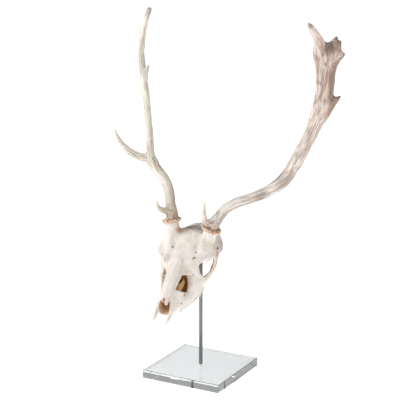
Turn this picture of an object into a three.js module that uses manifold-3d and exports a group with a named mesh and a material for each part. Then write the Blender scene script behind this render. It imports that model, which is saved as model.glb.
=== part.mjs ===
// A fallow deer skull with both antlers, carried nose down on a steel rod that
// stands in a clear square base. Millimetres, +Z up, origin at the centre of
// the base's underside; the skull faces -Y.
//
// The skull is built in a frame of its own: +X to the animal's left, -Y to the
// nose, +Z up through the forehead, with the origin at the back of the occipital
// condyles, level with the palate. The assembly carries that frame to its place.
import * as THREE from "three";
import { mergeVertices } from "three/addons/utils/BufferGeometryUtils.js";
import Module from "manifold-3d";

const wasm = await Module();
wasm.setup();

// ---------------------------------------------------------------- sizes ----
const BASE_SIDE = 180;
const BASE_HEIGHT = 18;
const BASE_EDGE = 0.8; // polished bevel round the block
const ROD_RADIUS = 4;
const ROD_TOP = 290; // inside the braincase
const ROD_SEAT = 9; // depth of the blind hole in the base
const GAP = 0.3; // clearance between neighbouring pieces

const NOSE_DOWN = 26; // degrees, of the palate below the horizontal
const ROLL = 6; // degrees, left side down
const TURN = 5; // degrees, round the vertical
const SKULL_AT = [-12.5, 46, 251]; // where the skull frame's origin stands

// Parting planes of the skull, in its own frame.
const CORONAL_SUTURE = -34; // frontals ahead, parietals behind
const SPHENOID_SUTURE = -62; // the same, below the level of the orbits' roofs
const NASION = -112; // facial bones ahead, frontals and jugals behind
const MAXILLA_BACK = -92; // the tooth rows reach back to here
const MAXILLA_TOP = 20; // and the bone over them up to here
const PREMAXILLA_BACK = -184;
const ORBIT_ROOF = 65; // height of the cut between frontals and jugals
const JUGAL_SIDE = 41; // the jugals lie further out than this

const PEDICLE = [
  [29, -86, 66, 19, 17],
  [35, -72, 80, 17, 16],
  [39, -60, 94, 14.6, 14.6],
  [41.8, -53, 106, 13.9, 13.9],
  [43.4, -49, 114.4, 13.8, 13.8],
];
const BURR_AT = [43.5, -48.6, 115.6];
const BURR_NORMAL = [0.24, 0.38, 0.89];
const BURR_RADIUS = { left: 18.6, right: 16.8 };
const BURR_TUBE = 3.7;
const BURR_SIDES = 14;

// ------------------------------------------------------------- materials ----
const material = (color, roughness, metalness = 0, opacity = 1) =>
  new THREE.MeshStandardMaterial({
    color,
    roughness,
    metalness,
    opacity,
    transparent: opacity < 1,
  });
const BONE = material(0xe9e2d6, 0.62);
const ANTLER = material(0xcdbcaa, 0.58);
const STEEL = material(0x8e9093, 0.32, 1);
const ACRYLIC = material(0xf2f6f7, 0.04, 0, 0.35);

// ----------------------------------------------------------- solid tools ----
// A closed three.js geometry as a manifold solid.
function solid(geometry) {
  const bare = geometry.clone();
  bare.deleteAttribute("normal");
  bare.deleteAttribute("uv");
  const merged = mergeVertices(bare, 1e-3);
  return new wasm.Manifold(
    new wasm.Mesh({
      numProp: 3,
      vertProperties: new Float32Array(merged.attributes.position.array),
      triVerts: new Uint32Array(merged.index.array),
    }),
  );
}

// The three.js geometry of a manifold solid.
function geometryOf(made) {
  const { vertProperties, triVerts } = made.getMesh();
  return new THREE.BufferGeometry()
    .setAttribute("position", new THREE.BufferAttribute(vertProperties, 3))
    .setIndex(new THREE.BufferAttribute(triVerts, 1));
}

const union = (pieces) => pieces.reduce((whole, piece) => whole.add(piece));
const cutAll = (body, tools) =>
  tools.reduce((left, tool) => left.subtract(tool), body);

// The largest connected piece; a cut can leave crumbs beside it.
const mainPiece = (made) =>
  made.decompose().reduce((a, b) => (b.volume() > a.volume() ? b : a));

// Both sides of the animal from one description of its left side.
const bothSides = (make) => [make(1), make(-1)];
const flip = (stations, side) =>
  stations.map(([x, ...rest]) => [x * side, ...rest]);
const grow = (stations, by) =>
  stations.map(([x, y, z, w, h]) => [x, y, z, w + by, h + by]);

// Faces of a tube of rings, closed by a fan at each end. The two fan centres
// are the last two points.
function tubeGeometry(positions, rings, sides) {
  const index = [];
  const first = (rings + 1) * sides;
  for (let k = 0; k < sides; k += 1) {
    const next = (k + 1) % sides;
    for (let i = 0; i < rings; i += 1) {
      const [a, b] = [i * sides + k, i * sides + next];
      index.push(a, a + sides, b, b, a + sides, b + sides);
    }
    const last = rings * sides;
    index.push(first, k, next, first + 1, last + next, last + k);
  }
  return new THREE.BufferGeometry()
    .setAttribute("position", new THREE.Float32BufferAttribute(positions, 3))
    .setIndex(index);
}

// A solid swept through stations [x, y, z, halfWidth, halfHeight], smooth along
// its length. Heights lie towards `up`; `square` 2 is an ellipse, more is boxier.
function sweep(stations, options = {}) {
  const { up = [0, 0, 1], sides = 8, steps = 1, square = 2 } = options;
  const curveOf = (points) => new THREE.CatmullRomCurve3(points);
  const path = curveOf(stations.map(([x, y, z]) => new THREE.Vector3(x, y, z)));
  const sizes = curveOf(stations.map((s) => new THREE.Vector3(s[3], s[4], 0)));
  const rings = (stations.length - 1) * steps;
  const upward = new THREE.Vector3(...up);
  const bulge = (value) => Math.sign(value) * Math.abs(value) ** (2 / square);
  const positions = [];
  for (let i = 0; i <= rings; i += 1) {
    const centre = path.getPoint(i / rings);
    const size = sizes.getPoint(i / rings);
    const along = path.getTangent(i / rings);
    const side = along.clone().cross(upward).normalize();
    const height = side.clone().cross(along);
    for (let k = 0; k < sides; k += 1) {
      const angle = ((k + 0.5) / sides) * 2 * Math.PI;
      const point = centre
        .clone()
        .addScaledVector(side, bulge(Math.cos(angle)) * size.x)
        .addScaledVector(height, bulge(Math.sin(angle)) * size.y);
      positions.push(...point);
    }
  }
  positions.push(...path.getPoint(0), ...path.getPoint(1));
  return solid(tubeGeometry(positions, rings, sides));
}

// A solid through upright cross-sections, symmetrical about the midline. Each
// is [y, ...half], where half runs [x, z] from the underside up to the top.
function loft(sections, steps = 1) {
  const count = sections[0].length - 1;
  const lines = [];
  for (let k = 1; k <= count; k += 1) {
    lines.push(
      new THREE.CatmullRomCurve3(
        sections.map(([y, ...half]) => {
          const [x, z] = half[k - 1];
          return new THREE.Vector3(x, y, z);
        }),
      ),
    );
  }
  const rings = (sections.length - 1) * steps;
  const positions = [];
  const middles = [];
  for (let i = 0; i <= rings; i += 1) {
    const half = lines.map((line) => line.getPoint(i / rings));
    const [low, high] = [half[0], half[count - 1]];
    const inner = half.slice(1, -1);
    for (const { x, y, z } of inner) positions.push(x, y, z);
    positions.push(0, high.y, high.z);
    for (const { x, y, z } of [...inner].reverse()) positions.push(-x, y, z);
    positions.push(0, low.y, low.z);
    middles.push([0, low.y, (low.z + high.z) / 2]);
  }
  positions.push(...middles[0], ...middles[rings]);
  return solid(tubeGeometry(positions, rings, 2 * count - 2));
}

function ellipsoid([x, y, z], [rx, ry, rz], around = 8) {
  const ball = new THREE.SphereGeometry(1, around, Math.round(around * 0.6));
  return solid(ball.scale(rx, ry, rz).translate(x, y, z));
}

function box([x0, y0, z0], [x1, y1, z1]) {
  const block = new THREE.BoxGeometry(x1 - x0, y1 - y0, z1 - z0);
  block.translate((x0 + x1) / 2, (y0 + y1) / 2, (z0 + z1) / 2);
  return solid(block);
}

// A flat outline of [y, z] corners, pushed from x0 to x1.
function prismAlongX(outline, x0, x1) {
  const shape = new THREE.Shape(outline.map(([y, z]) => new THREE.Vector2(y, z)));
  const prism = new THREE.ExtrudeGeometry(shape, {
    depth: x1 - x0,
    bevelEnabled: false,
  });
  // The shape's x, y and depth become the part's y, z and x.
  const turn = new THREE.Matrix4().makeBasis(
    new THREE.Vector3(0, 1, 0),
    new THREE.Vector3(0, 0, 1),
    new THREE.Vector3(1, 0, 0),
  );
  return solid(prism.applyMatrix4(turn).translate(x0, 0, 0));
}

// Stands a shape that was made round +Z on a point, facing a direction.
function stand(geometry, at, along) {
  const turn = new THREE.Quaternion().setFromUnitVectors(
    new THREE.Vector3(0, 0, 1),
    new THREE.Vector3(...along).normalize(),
  );
  return solid(geometry.applyQuaternion(turn).translate(...at));
}

// ------------------------------------------------------------ skull parts ----
// The closed body of the skull, from the nose to the nuchal crest.
function cranium() {
  return loft([
    [-204, [0, 7], [13, 7], [16.5, 13], [16, 24], [12, 35], [7, 41], [0, 43.5]],
    [-186, [0, 4], [15, 4], [20, 11], [19, 27], [15.5, 43], [9, 51.5], [0, 54]],
    [-170, [0, 3], [20, 2], [26, 9], [23, 26], [18, 45], [11, 58], [0, 62]],
    [-150, [0, 3], [26, 1], [35, 12], [28, 28], [22, 48], [14, 63], [0, 69]],
    [-130, [0, 5], [28, 3], [41, 14], [38, 34], [27, 56], [16, 69], [0, 74.5]],
    [-113, [0, 8], [28, 5], [43, 18], [42, 42], [38, 62], [22, 75], [0, 79]],
    [-99, [0, 14], [22, 10], [32, 20], [34, 42], [35, 66], [22, 80], [0, 83]],
    [-84, [0, 20], [11, 18], [20, 30], [26, 48], [30, 68], [22, 83], [0, 87.5]],
    [-69, [0, 21], [11, 20], [20, 32], [29, 50], [31, 70], [22, 86], [0, 92]],
    [-54, [0, 20], [12, 20], [26, 30], [34, 50], [35, 70], [24, 89], [0, 95.5]],
    [-39, [0, 18], [14, 18], [30, 28], [39, 48], [38, 70], [25, 89], [0, 97]],
    [-24, [0, 17], [16, 17], [34, 26], [44, 46], [42, 66], [25, 83], [0, 91]],
    [-10, [0, 17], [20, 18], [37, 28], [46, 46], [42, 62], [24, 74], [0, 80]],
    [-3, [0, 22], [16, 22], [30, 30], [37, 45], [33, 58], [20, 68], [0, 74]],
  ]);
}

// The plate of the forehead, wide over the orbits and open beneath them.
function frontalRoof() {
  return loft([
    [-124, [0, 64], [13, 60], [21, 57], [25, 60], [22, 67], [12, 73], [0, 75.5]],
    [-113, [0, 68], [21, 60], [33, 58], [36.5, 63], [32, 70], [20, 77.5], [0, 80]],
    [-104, [0, 70], [27, 66], [38, 67], [41.5, 71], [36, 76], [23, 80.5], [0, 82.5]],
    [-95, [0, 72], [31, 69], [44.5, 70.5], [48, 74], [41, 79], [25, 83], [0, 85]],
    [-84, [0, 75], [32, 72], [55, 70], [59.5, 73], [48, 81], [27, 86], [0, 88.5]],
    [-74, [0, 78], [32, 74], [54, 70], [60, 73], [49, 83], [28, 89], [0, 92]],
    [-64, [0, 80], [32, 76], [48, 75], [53, 79], [45, 87], [27, 92.5], [0, 95]],
    [-52, [0, 82], [30, 78], [42, 79], [46, 83], [40, 91], [25, 95], [0, 97]],
    [-40, [0, 80], [26, 76], [36, 76], [39, 80], [34, 89], [22, 95], [0, 98]],
  ]);
}

function occiput() {
  const crest = sweep(
    [
      [-43, -12, 42, 4, 5],
      [-38, -7, 57, 4, 5],
      [-20, -2, 69, 4.5, 5],
      [0, 0, 73, 5, 5.5],
      [20, -2, 69, 4.5, 5],
      [38, -7, 57, 4, 5],
      [43, -12, 42, 4, 5],
    ],
    { up: [0, 1, 0], sides: 6 },
  );
  const keel = sweep([
    [0, 0, 20, 11, 6],
    [0, -32, 22, 11, 7],
    [0, -62, 27, 9, 8],
    [0, -90, 28, 8, 9],
  ]);
  const paired = bothSides((side) =>
    union([
      ellipsoid([12 * side, -6, 22], [8, 8, 11]), // condyle
      ellipsoid([21 * side, -32, 19], [9, 13, 9]), // bulla
      ellipsoid([41 * side, -27, 46], [12, 13, 16]), // temporal swelling
      sweep(
        flip(
          [
            [35, -14, 34, 7, 6],
            [32, -12, 19, 4.5, 3.6],
            [28, -14, 2, 2.2, 2.2],
          ],
          side,
        ),
        { up: [0, 1, 0], sides: 6 },
      ), // hook beside the condyle
    ]),
  );
  return union([crest, keel, ...paired]);
}

// Lower rim of the orbit and the arch back to the side of the braincase.
function zygomaticArch(side) {
  return sweep(
    flip(
      [
        [33, -129, 27, 6, 10],
        [43, -117, 29, 5.5, 10],
        [51, -103, 32, 4, 8.5],
        [55.5, -88, 37, 3.4, 7],
        [56, -72, 43, 3.2, 5.5],
        [53, -58, 46, 3.4, 5],
        [49, -45, 46, 4.2, 5],
        [40, -31, 44, 6, 6],
      ],
      side,
    ),
  );
}

function postorbitalBar(side) {
  return sweep(
    flip(
      [
        [49, -70, 82, 6, 6],
        [55, -70, 75, 4, 5.5],
        [58.5, -72, 63, 3, 4.8],
        [58, -76, 51, 3, 5],
        [56, -82, 39, 2.8, 6],
      ],
      side,
    ),
    { up: [0, 1, 0], sides: 6 },
  );
}

const ORBIT_AT = [50, -97, 53];
const ORBIT_SIZE = [24, 18, 18];
// The forehead reaches further out over the right orbit than over the left.
const RIGHT_BROW_AT = [-47.5, -91, 72.5];
const RIGHT_BROW_SIZE = [12.5, 17, 5];

function pedicle(side, grown = 0) {
  return sweep(flip(grow(PEDICLE, grown), side), { up: [1, 0, 0] });
}

// Bone that holds the cheek teeth.
function toothBone(side) {
  return sweep(
    flip(
      [
        [17, -180, 6, 4, 4],
        [22, -165, 5.5, 6, 5.5],
        [28, -147, 5, 7, 6],
        [32.5, -125, 5, 7.5, 6],
        [34, -106, 6.5, 7, 7],
        [32, -94, 9.5, 5, 6],
      ],
      side,
    ),
  );
}

// Six upper cheek teeth: [x, y, half width, half length] from P2 to M3.
const CHEEK_TEETH = [
  [18.5, -171.5, 4, 5.4],
  [22.5, -160.6, 5, 5.3],
  [26.4, -149.8, 5.8, 5.3],
  [30.2, -137.4, 6.3, 6.8],
  [33, -122.6, 6.7, 7.7],
  [34.4, -107, 6.4, 7.6],
];
const TOOTH_ROOT = 4;
const TOOTH_CROWN = -9;
const TOOTH_ROW_TURN = 0.25; // radians between the row and the midline

function toothRow(side) {
  const along = [-Math.sin(TOOTH_ROW_TURN) * side, -Math.cos(TOOTH_ROW_TURN), 0];
  return union(
    CHEEK_TEETH.map(([x, y, width, length]) =>
      sweep(
        [
          [x * side, y, TOOTH_ROOT, width, length],
          [x * side, y, TOOTH_CROWN, width * 0.86, length * 0.96],
        ],
        { up: along, square: 3.4 },
      ),
    ),
  );
}

// The side wall that runs from the nasal bone to the tip of the muzzle. The
// muzzle leans a little to the animal's right.
const MUZZLE_LEAN = -0.7;
function premaxillaWall(side) {
  const stations = [
    [15.2, -178, 24, 2.8, 15],
    [15.3, -190, 21, 2.6, 14],
    [15.8, -200, 16, 2.4, 11],
    [16, -209, 11.5, 2.5, 8],
    [14.9, -219, 8, 2.4, 5],
    [13.2, -228, 6, 1.8, 2.6],
  ];
  const leaned = flip(stations, side).map(([x, ...rest]) => [
    x + MUZZLE_LEAN,
    ...rest,
  ]);
  return sweep(leaned, { square: 2.4 });
}

function palateFloor() {
  return sweep(
    [
      [0, -170, 5, 15, 2.5],
      [MUZZLE_LEAN / 2, -190, 5, 14, 2],
      [MUZZLE_LEAN, -205, 5, 14, 1.5],
    ],
    { square: 4 },
  );
}

// Nasal bones; the right one is broken off shorter than the left.
const NASAL = [
  [4, -116, 75.5, 4, 2.4],
  [5.6, -133, 70, 5.8, 2.6],
  [6, -152, 64.3, 6.3, 2.6],
  [6, -170, 57.2, 6.3, 2.6],
  [5.8, -186, 49, 5.9, 2.4],
];
const NASAL_TIP = {
  left: [5.2, -203, 40, 3.4, 1.8],
  right: [4.8, -195, 44.2, 3.6, 2],
};
const NASAL_SLOPE = 0.36; // of the roof of the nose, away from the midline
function nasalBone(side, grown = 0) {
  const tip = side > 0 ? NASAL_TIP.left : NASAL_TIP.right;
  return sweep(flip(grow([...NASAL, tip], grown), side), {
    up: [NASAL_SLOPE * side, 0, 1],
    square: 3.4,
  });
}

// Open space of the nose, seen through the nostril and the gaps before the eyes.
function nasalCavity() {
  return loft([
    [-240, [0, 6], [10, 7], [12.5, 14], [12, 28], [7, 32], [0, 33]],
    [-205, [0, 7], [11, 8], [13.5, 16], [12.5, 29], [7, 37], [0, 40]],
    [-186, [0, 8], [12, 9], [15, 17], [14, 32], [9, 43], [0, 47]],
    [-160, [0, 10], [15, 11], [20, 20], [20, 40], [14, 56], [0, 60]],
    [-138, [0, 14], [16, 15], [22, 26], [21, 46], [14, 62], [0, 67]],
    [-120, [0, 24], [8, 26], [14, 34], [13, 48], [8, 58], [0, 61]],
  ]);
}

// The gap in the bone ahead of each orbit, as corners [y, z]. The right one
// reaches further back and down.
const GAP_BEFORE_ORBIT = {
  left: [
    [-142, 62],
    [-125, 52],
    [-133, 40],
    [-149, 24],
    [-161, 37],
    [-173, 51],
  ],
  right: [
    [-142, 62],
    [-119, 56],
    [-127, 37],
    [-146, 20],
    [-161, 37],
    [-173, 51],
  ],
};
const GAP_REACH = [12, 60]; // distances from the midline

function skullOpenings() {
  return [
    nasalCavity(),
    ellipsoid([0, -138, -2], [17, 44, 6]), // vault of the palate
    ellipsoid([0, -82, 14], [10, 16, 9]), // inner nostrils
    ellipsoid([0, 1, 35], [9, 13, 8]), // foramen magnum
    ...bothSides((side) =>
      ellipsoid([6.4 * side + MUZZLE_LEAN, -196, 5], [3.2, 6, 6]),
    ), // openings of the hard palate
    ...bothSides((side) => {
      const [x0, x1] = GAP_REACH.map((x) => x * side).sort((a, b) => a - b);
      const outline = side > 0 ? GAP_BEFORE_ORBIT.left : GAP_BEFORE_ORBIT.right;
      return prismAlongX(outline, x0, x1);
    }),
  ];
}

// The whole skull in one, before it is parted along its sutures.
function wholeSkull() {
  const [x, y, z] = ORBIT_AT;
  const orbits = bothSides((side) => ellipsoid([x * side, y, z], ORBIT_SIZE, 10));
  const brow = ellipsoid(RIGHT_BROW_AT, RIGHT_BROW_SIZE);
  const core = cutAll(cranium(), orbits).add(frontalRoof()).add(brow);
  const paired = [
    zygomaticArch,
    postorbitalBar,
    pedicle,
    toothBone,
    toothRow,
    premaxillaWall,
  ].flatMap((make) => bothSides((side) => make(side)));
  const joined = union([core, occiput(), palateFloor(), ...paired]);
  return cutAll(joined, skullOpenings());
}

// Blocks that hold the bones on either side of each suture, GAP apart.
const FAR = 400;
const HALF = GAP / 2;

function boneBlocks() {
  const behind = (y, low, high) => box([-FAR, y + HALF, low], [FAR, FAR, high]);
  const toothBlock = box(
    [-FAR, -FAR, -FAR],
    [FAR, MAXILLA_BACK - HALF, MAXILLA_TOP - HALF],
  );
  const faceBlock = union([
    box([-FAR, -FAR, -FAR], [FAR, NASION - HALF, FAR]),
    toothBlock,
  ]);
  const faceRoom = union([
    box([-FAR, -FAR, -FAR], [FAR, NASION + HALF, FAR]),
    box([-FAR, -FAR, -FAR], [FAR, MAXILLA_BACK + HALF, MAXILLA_TOP + HALF]),
  ]);
  const blocks = {
    braincase: union([
      behind(CORONAL_SUTURE, ORBIT_ROOF - 1, FAR),
      behind(SPHENOID_SUTURE, -FAR, ORBIT_ROOF - HALF),
    ]),
    sphenoid: box(
      [-JUGAL_SIDE + HALF, -FAR, -FAR],
      [JUGAL_SIDE - HALF, SPHENOID_SUTURE - HALF, ORBIT_ROOF - HALF],
    ).subtract(faceRoom),
  };
  for (const [name, side] of [
    ["left", 1],
    ["right", -1],
  ]) {
    const span = (near, [y0, z0], [y1, z1]) => {
      const [x0, x1] = [near * side, FAR * side].sort((a, b) => a - b);
      return box([x0, y0, z0], [x1, y1, z1]);
    };
    const face = faceBlock.intersect(span(HALF, [-FAR, -FAR], [FAR, FAR]));
    blocks[`frontal_${name}`] = span(
      HALF,
      [NASION + HALF, ORBIT_ROOF + HALF],
      [CORONAL_SUTURE - HALF, FAR],
    );
    blocks[`jugal_${name}`] = span(
      JUGAL_SIDE + HALF,
      [-FAR, -FAR],
      [SPHENOID_SUTURE - HALF, ORBIT_ROOF - HALF],
    ).subtract(faceRoom);
    blocks[`maxilla_${name}`] = face.subtract(
      box([-FAR, -FAR, -FAR], [FAR, PREMAXILLA_BACK + HALF, FAR]),
    );
    blocks[`premaxilla_${name}`] = face.intersect(
      box([-FAR, -FAR, -FAR], [FAR, PREMAXILLA_BACK - HALF, FAR]),
    );
  }
  return blocks;
}

function partedBones(rodRoom) {
  const whole = wholeSkull().subtract(rodRoom);
  const nasalRoom = bothSides((side) => nasalBone(side, GAP));
  const bones = {};
  for (const [name, block] of Object.entries(boneBlocks())) {
    bones[name] = mainPiece(cutAll(whole.intersect(block), nasalRoom));
  }
  const midlineGap = box([-HALF, -FAR, -FAR], [HALF, FAR, FAR]);
  bones.nasal_left = nasalBone(1).subtract(midlineGap);
  bones.nasal_right = nasalBone(-1).subtract(midlineGap);
  return bones;
}

// ---------------------------------------------------------------- antlers ----
// Beams, tines and palm as stations [x, y, z, halfWidth, halfHeight] in the
// skull frame, from the burr outwards.
const LEFT_BEAM = [
  [43.5, -48.6, 115.2, 13, 13],
  [47, -43, 123, 12.5, 12.5],
  [53, -31, 132, 11.3, 11.3],
  [61, -14, 142, 10.6, 10.6],
  [75, 1, 148, 10.5, 10.5],
  [92, 14, 152, 10.6, 10.6],
  [112, 27, 156, 11, 11],
  [134, 44, 163, 11.8, 11.8],
  [155, 63, 176, 13.2, 13.2],
  [166, 76, 190, 13.4, 13],
  [175, 89, 208, 12.4, 12.4],
  [186, 105, 233, 12.8, 12],
];
const LEFT_PALM = [
  [175, 89, 208, 12.4, 12.4],
  [186, 105, 233, 13.6, 12],
  [197, 120.5, 258, 17.5, 11],
  [205.5, 135, 285, 21.5, 10],
  [213, 148, 314, 24, 9],
  [216, 160.5, 345, 24.5, 8],
  [215, 173, 378, 26.5, 7],
  [213, 185, 409, 31, 6],
  [210, 190, 424, 28, 5],
];
const LEFT_FORK = 1; // station of the palm where it is parted from the beam
// The palm's points, each from inside the blade out to its tip.
const PALM_POINTS = {
  back: [
    [217, 144, 303, 29, 7],
    [228, 165, 311.5, 17.5, 5.2],
    [236, 179, 316, 8.5, 3.4],
    [239, 187, 319, 2.4, 2],
  ],
  middle: [
    [219, 188, 394, 29, 6],
    [229, 206, 396, 17, 4.2],
    [236, 216.5, 396.5, 7, 2.8],
    [239, 221, 396.5, 2, 1.8],
  ],
  upper: [
    [221, 199, 407, 14, 4.5],
    [227, 212, 417, 7, 3.2],
    [229.5, 219.5, 423, 1.8, 1.6],
  ],
  inner: [
    [214, 191, 414, 22, 5],
    [221, 206, 428, 10.5, 3.5],
    [224, 216, 436, 2, 1.8],
  ],
  top: [
    [204, 175, 418, 18, 6],
    [201, 177, 435, 14.5, 5.6],
    [196, 177.5, 455, 9.4, 4.7],
    [187, 173.5, 478, 5.6, 3.7],
    [183, 171.5, 486, 2.4, 2],
  ],
};
const RIGHT_BEAM = [
  [-43.5, -48.6, 115.2, 13, 13],
  [-47, -39, 125, 12, 12],
  [-55, -26, 136, 10.6, 10.6],
  [-62, -12, 145, 10.3, 10.3],
  [-72, 3, 154, 10.4, 10.4],
  [-90, 21, 160, 11, 11],
  [-114, 39, 165, 11.3, 11.3],
  [-129, 52, 168.5, 10.8, 10.8],
  [-139, 65, 177, 9.5, 9],
  [-146, 79, 188, 8.4, 8.2],
  [-153, 97, 207, 7.6, 7.6],
  [-162, 115, 229, 7.6, 7.6],
  [-172, 135, 254, 7.9, 7.9],
  [-182, 154, 282, 7.9, 7.9],
  [-194, 175, 314, 7.4, 7.4],
  [-200, 192, 349, 6.9, 6.9],
  [-198, 207, 385, 6.5, 6.5],
  [-191, 215, 414, 6, 6],
  [-184, 221, 436, 5.3, 5.3],
];
const RIGHT_FORK = 8; // station of the beam where its upper part begins
const RIGHT_SPUR = [
  [-185, 164, 300, 6, 5],
  [-183, 173, 314, 4.5, 4],
  [-181, 178, 322, 3, 2.6],
];
const RIGHT_TREZ_TINE = [
  [-127, 53, 168, 9.6, 9.6],
  [-143, 57, 173, 9, 9],
  [-160, 52, 179, 8.3, 8.3],
  [-178, 49, 190, 7.3, 7.3],
  [-194, 49, 206, 5.6, 5.6],
  [-207, 53, 224, 3.5, 3.5],
  [-213, 59, 240, 0.9, 0.9],
];
const RIGHT_BROW_TINE = [
  [-48, -36, 131, 8, 8],
  [-55, -45, 135, 7.4, 7.4],
  [-61, -53, 141, 6.2, 6.2],
  [-66, -58, 152, 4.4, 4.4],
  [-69, -56, 167, 1, 1],
];
const LEFT_BROW_TINE = [
  [46, -43, 128, 8.5, 8.5],
  [40, -52, 132, 7.8, 7.8],
  [36, -57, 141, 6.6, 6.6],
  [36, -57, 157, 4.8, 4.8],
  [36, -53, 175, 3, 3],
  [37, -48, 188, 0.9, 0.9],
];
const BLADE_UP = [0.75, -0.6, -0.25]; // across the palm's thickness
const TINE_SIDES = 6;

const branch = (stations, options = {}) =>
  sweep(stations, { up: [1, -0.6, 0.1], ...options });

const burrRadius = (side) => (side > 0 ? BURR_RADIUS.left : BURR_RADIUS.right);

function burr(side) {
  const [[x, y, z], [nx, ny, nz]] = [BURR_AT, BURR_NORMAL];
  const radius = burrRadius(side);
  const ring = new THREE.TorusGeometry(radius, BURR_TUBE, 6, BURR_SIDES);
  const core = new THREE.CylinderGeometry(radius, radius, BURR_TUBE, BURR_SIDES);
  core.rotateX(Math.PI / 2);
  const [at, normal] = [
    [x * side, y, z],
    [nx * side, ny, nz],
  ];
  return union([stand(ring, at, normal), stand(core, at, normal)]);
}

// Space that a brow tine leaves free for the burr beneath it.
function burrRoom(side) {
  const [[x, y, z], [nx, ny, nz]] = [BURR_AT, BURR_NORMAL];
  const reach = burrRadius(side) + BURR_TUBE + 2 * GAP;
  const depth = 2 * (BURR_TUBE + GAP);
  const disc = new THREE.CylinderGeometry(reach, reach, depth, BURR_SIDES);
  disc.rotateX(Math.PI / 2);
  return stand(disc, [x * side, y, z], [nx * side, ny, nz]);
}

// Everything beyond (+1) or short of (-1) a station of a branch.
function halfSpace(stations, index, sign) {
  const [at, ahead] = [stations[index], stations[index + 1]];
  const along = ahead.slice(0, 3).map((value, axis) => value - at[axis]);
  const block = new THREE.BoxGeometry(FAR, FAR, FAR);
  block.translate(0, 0, sign * (FAR / 2 + HALF));
  return stand(block, at.slice(0, 3), along);
}

function leftAntler() {
  const points = Object.values(PALM_POINTS).map((stations) =>
    branch(stations, { up: BLADE_UP, sides: TINE_SIDES }),
  );
  const palm = union([branch(LEFT_PALM, { up: BLADE_UP }), ...points]);
  const beam = branch(LEFT_BEAM);
  const beamRoom = branch(grow(LEFT_BEAM, GAP));
  return {
    antler_left_beam: cutAll(union([beam, burr(1)]), [pedicle(1, GAP)]).intersect(
      halfSpace(LEFT_PALM, LEFT_FORK, -1),
    ),
    antler_left_palm: palm.intersect(halfSpace(LEFT_PALM, LEFT_FORK, 1)),
    antler_left_brow_tine: cutAll(
      branch(LEFT_BROW_TINE, { sides: TINE_SIDES }),
      [beamRoom, burrRoom(1)],
    ),
  };
}

function rightAntler() {
  const beam = branch(RIGHT_BEAM);
  const beamRoom = branch(grow(RIGHT_BEAM, GAP));
  const spur = branch(RIGHT_SPUR);
  return {
    antler_right_beam: cutAll(union([beam, burr(-1)]), [
      pedicle(-1, GAP),
    ]).intersect(halfSpace(RIGHT_BEAM, RIGHT_FORK, -1)),
    antler_right_upper_beam: union([beam, spur]).intersect(
      halfSpace(RIGHT_BEAM, RIGHT_FORK, 1),
    ),
    antler_right_trez_tine: branch(RIGHT_TREZ_TINE).subtract(beamRoom),
    antler_right_brow_tine: cutAll(
      branch(RIGHT_BROW_TINE, { sides: TINE_SIDES }),
      [beamRoom, burrRoom(-1)],
    ),
  };
}

// ------------------------------------------------------------------ stand ----
const ROD_SIDES = 16;
function rodCylinder(radius, low, high) {
  const rod = new THREE.CylinderGeometry(radius, radius, high - low, ROD_SIDES);
  return rod.rotateX(Math.PI / 2).translate(0, 0, (low + high) / 2);
}

function standBase() {
  const half = BASE_SIDE / 2 - BASE_EDGE;
  const outline = new THREE.Shape([
    new THREE.Vector2(-half, -half),
    new THREE.Vector2(half, -half),
    new THREE.Vector2(half, half),
    new THREE.Vector2(-half, half),
  ]);
  const block = new THREE.ExtrudeGeometry(outline, {
    depth: BASE_HEIGHT - 2 * BASE_EDGE,
    bevelThickness: BASE_EDGE,
    bevelSize: BASE_EDGE,
    bevelSegments: 1,
  });
  const seat = rodCylinder(
    ROD_RADIUS + GAP,
    BASE_HEIGHT - ROD_SEAT,
    BASE_HEIGHT + ROD_SEAT,
  );
  return solid(block.translate(0, 0, BASE_EDGE)).subtract(solid(seat));
}

// --------------------------------------------------------------- assembly ----
function named(name, made, finish) {
  const mesh = new THREE.Mesh(geometryOf(made), finish);
  mesh.name = name;
  return mesh;
}

const skull = new THREE.Group();
skull.position.set(...SKULL_AT);
skull.rotation.set(
  ...[NOSE_DOWN, ROLL, TURN].map((angle) => THREE.MathUtils.degToRad(angle)),
  "ZYX",
);
skull.updateMatrix();

// The space for the rod, in the skull's frame.
const rodRoom = solid(
  rodCylinder(ROD_RADIUS + GAP, BASE_HEIGHT, ROD_TOP + GAP).applyMatrix4(
    skull.matrix.clone().invert(),
  ),
);

for (const [name, bone] of Object.entries(partedBones(rodRoom))) {
  skull.add(named(name, bone, BONE));
}
for (const [name, piece] of Object.entries({
  ...leftAntler(),
  ...rightAntler(),
})) {
  skull.add(named(name, mainPiece(piece), ANTLER));
}

const rod = rodCylinder(ROD_RADIUS, BASE_HEIGHT - ROD_SEAT + GAP, ROD_TOP);
const model = new THREE.Group();
model.add(
  skull,
  named("stand_base", standBase(), ACRYLIC),
  named("stand_rod", solid(rod), STEEL),
);

export default model;
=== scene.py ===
"""A fallow deer skull with its antlers, on a steel rod in a clear base.

The skull and antlers are worked out in the skull's own frame, in millimetres:
+X to the animal's left, -Y to the nose, +Z up through the forehead, origin at
the back of the condyles. Everything in Blender is in metres, in the row's frame.
"""

import math
from itertools import combinations, product

import bpy
import numpy as np
from mathutils import Matrix, Vector


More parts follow.
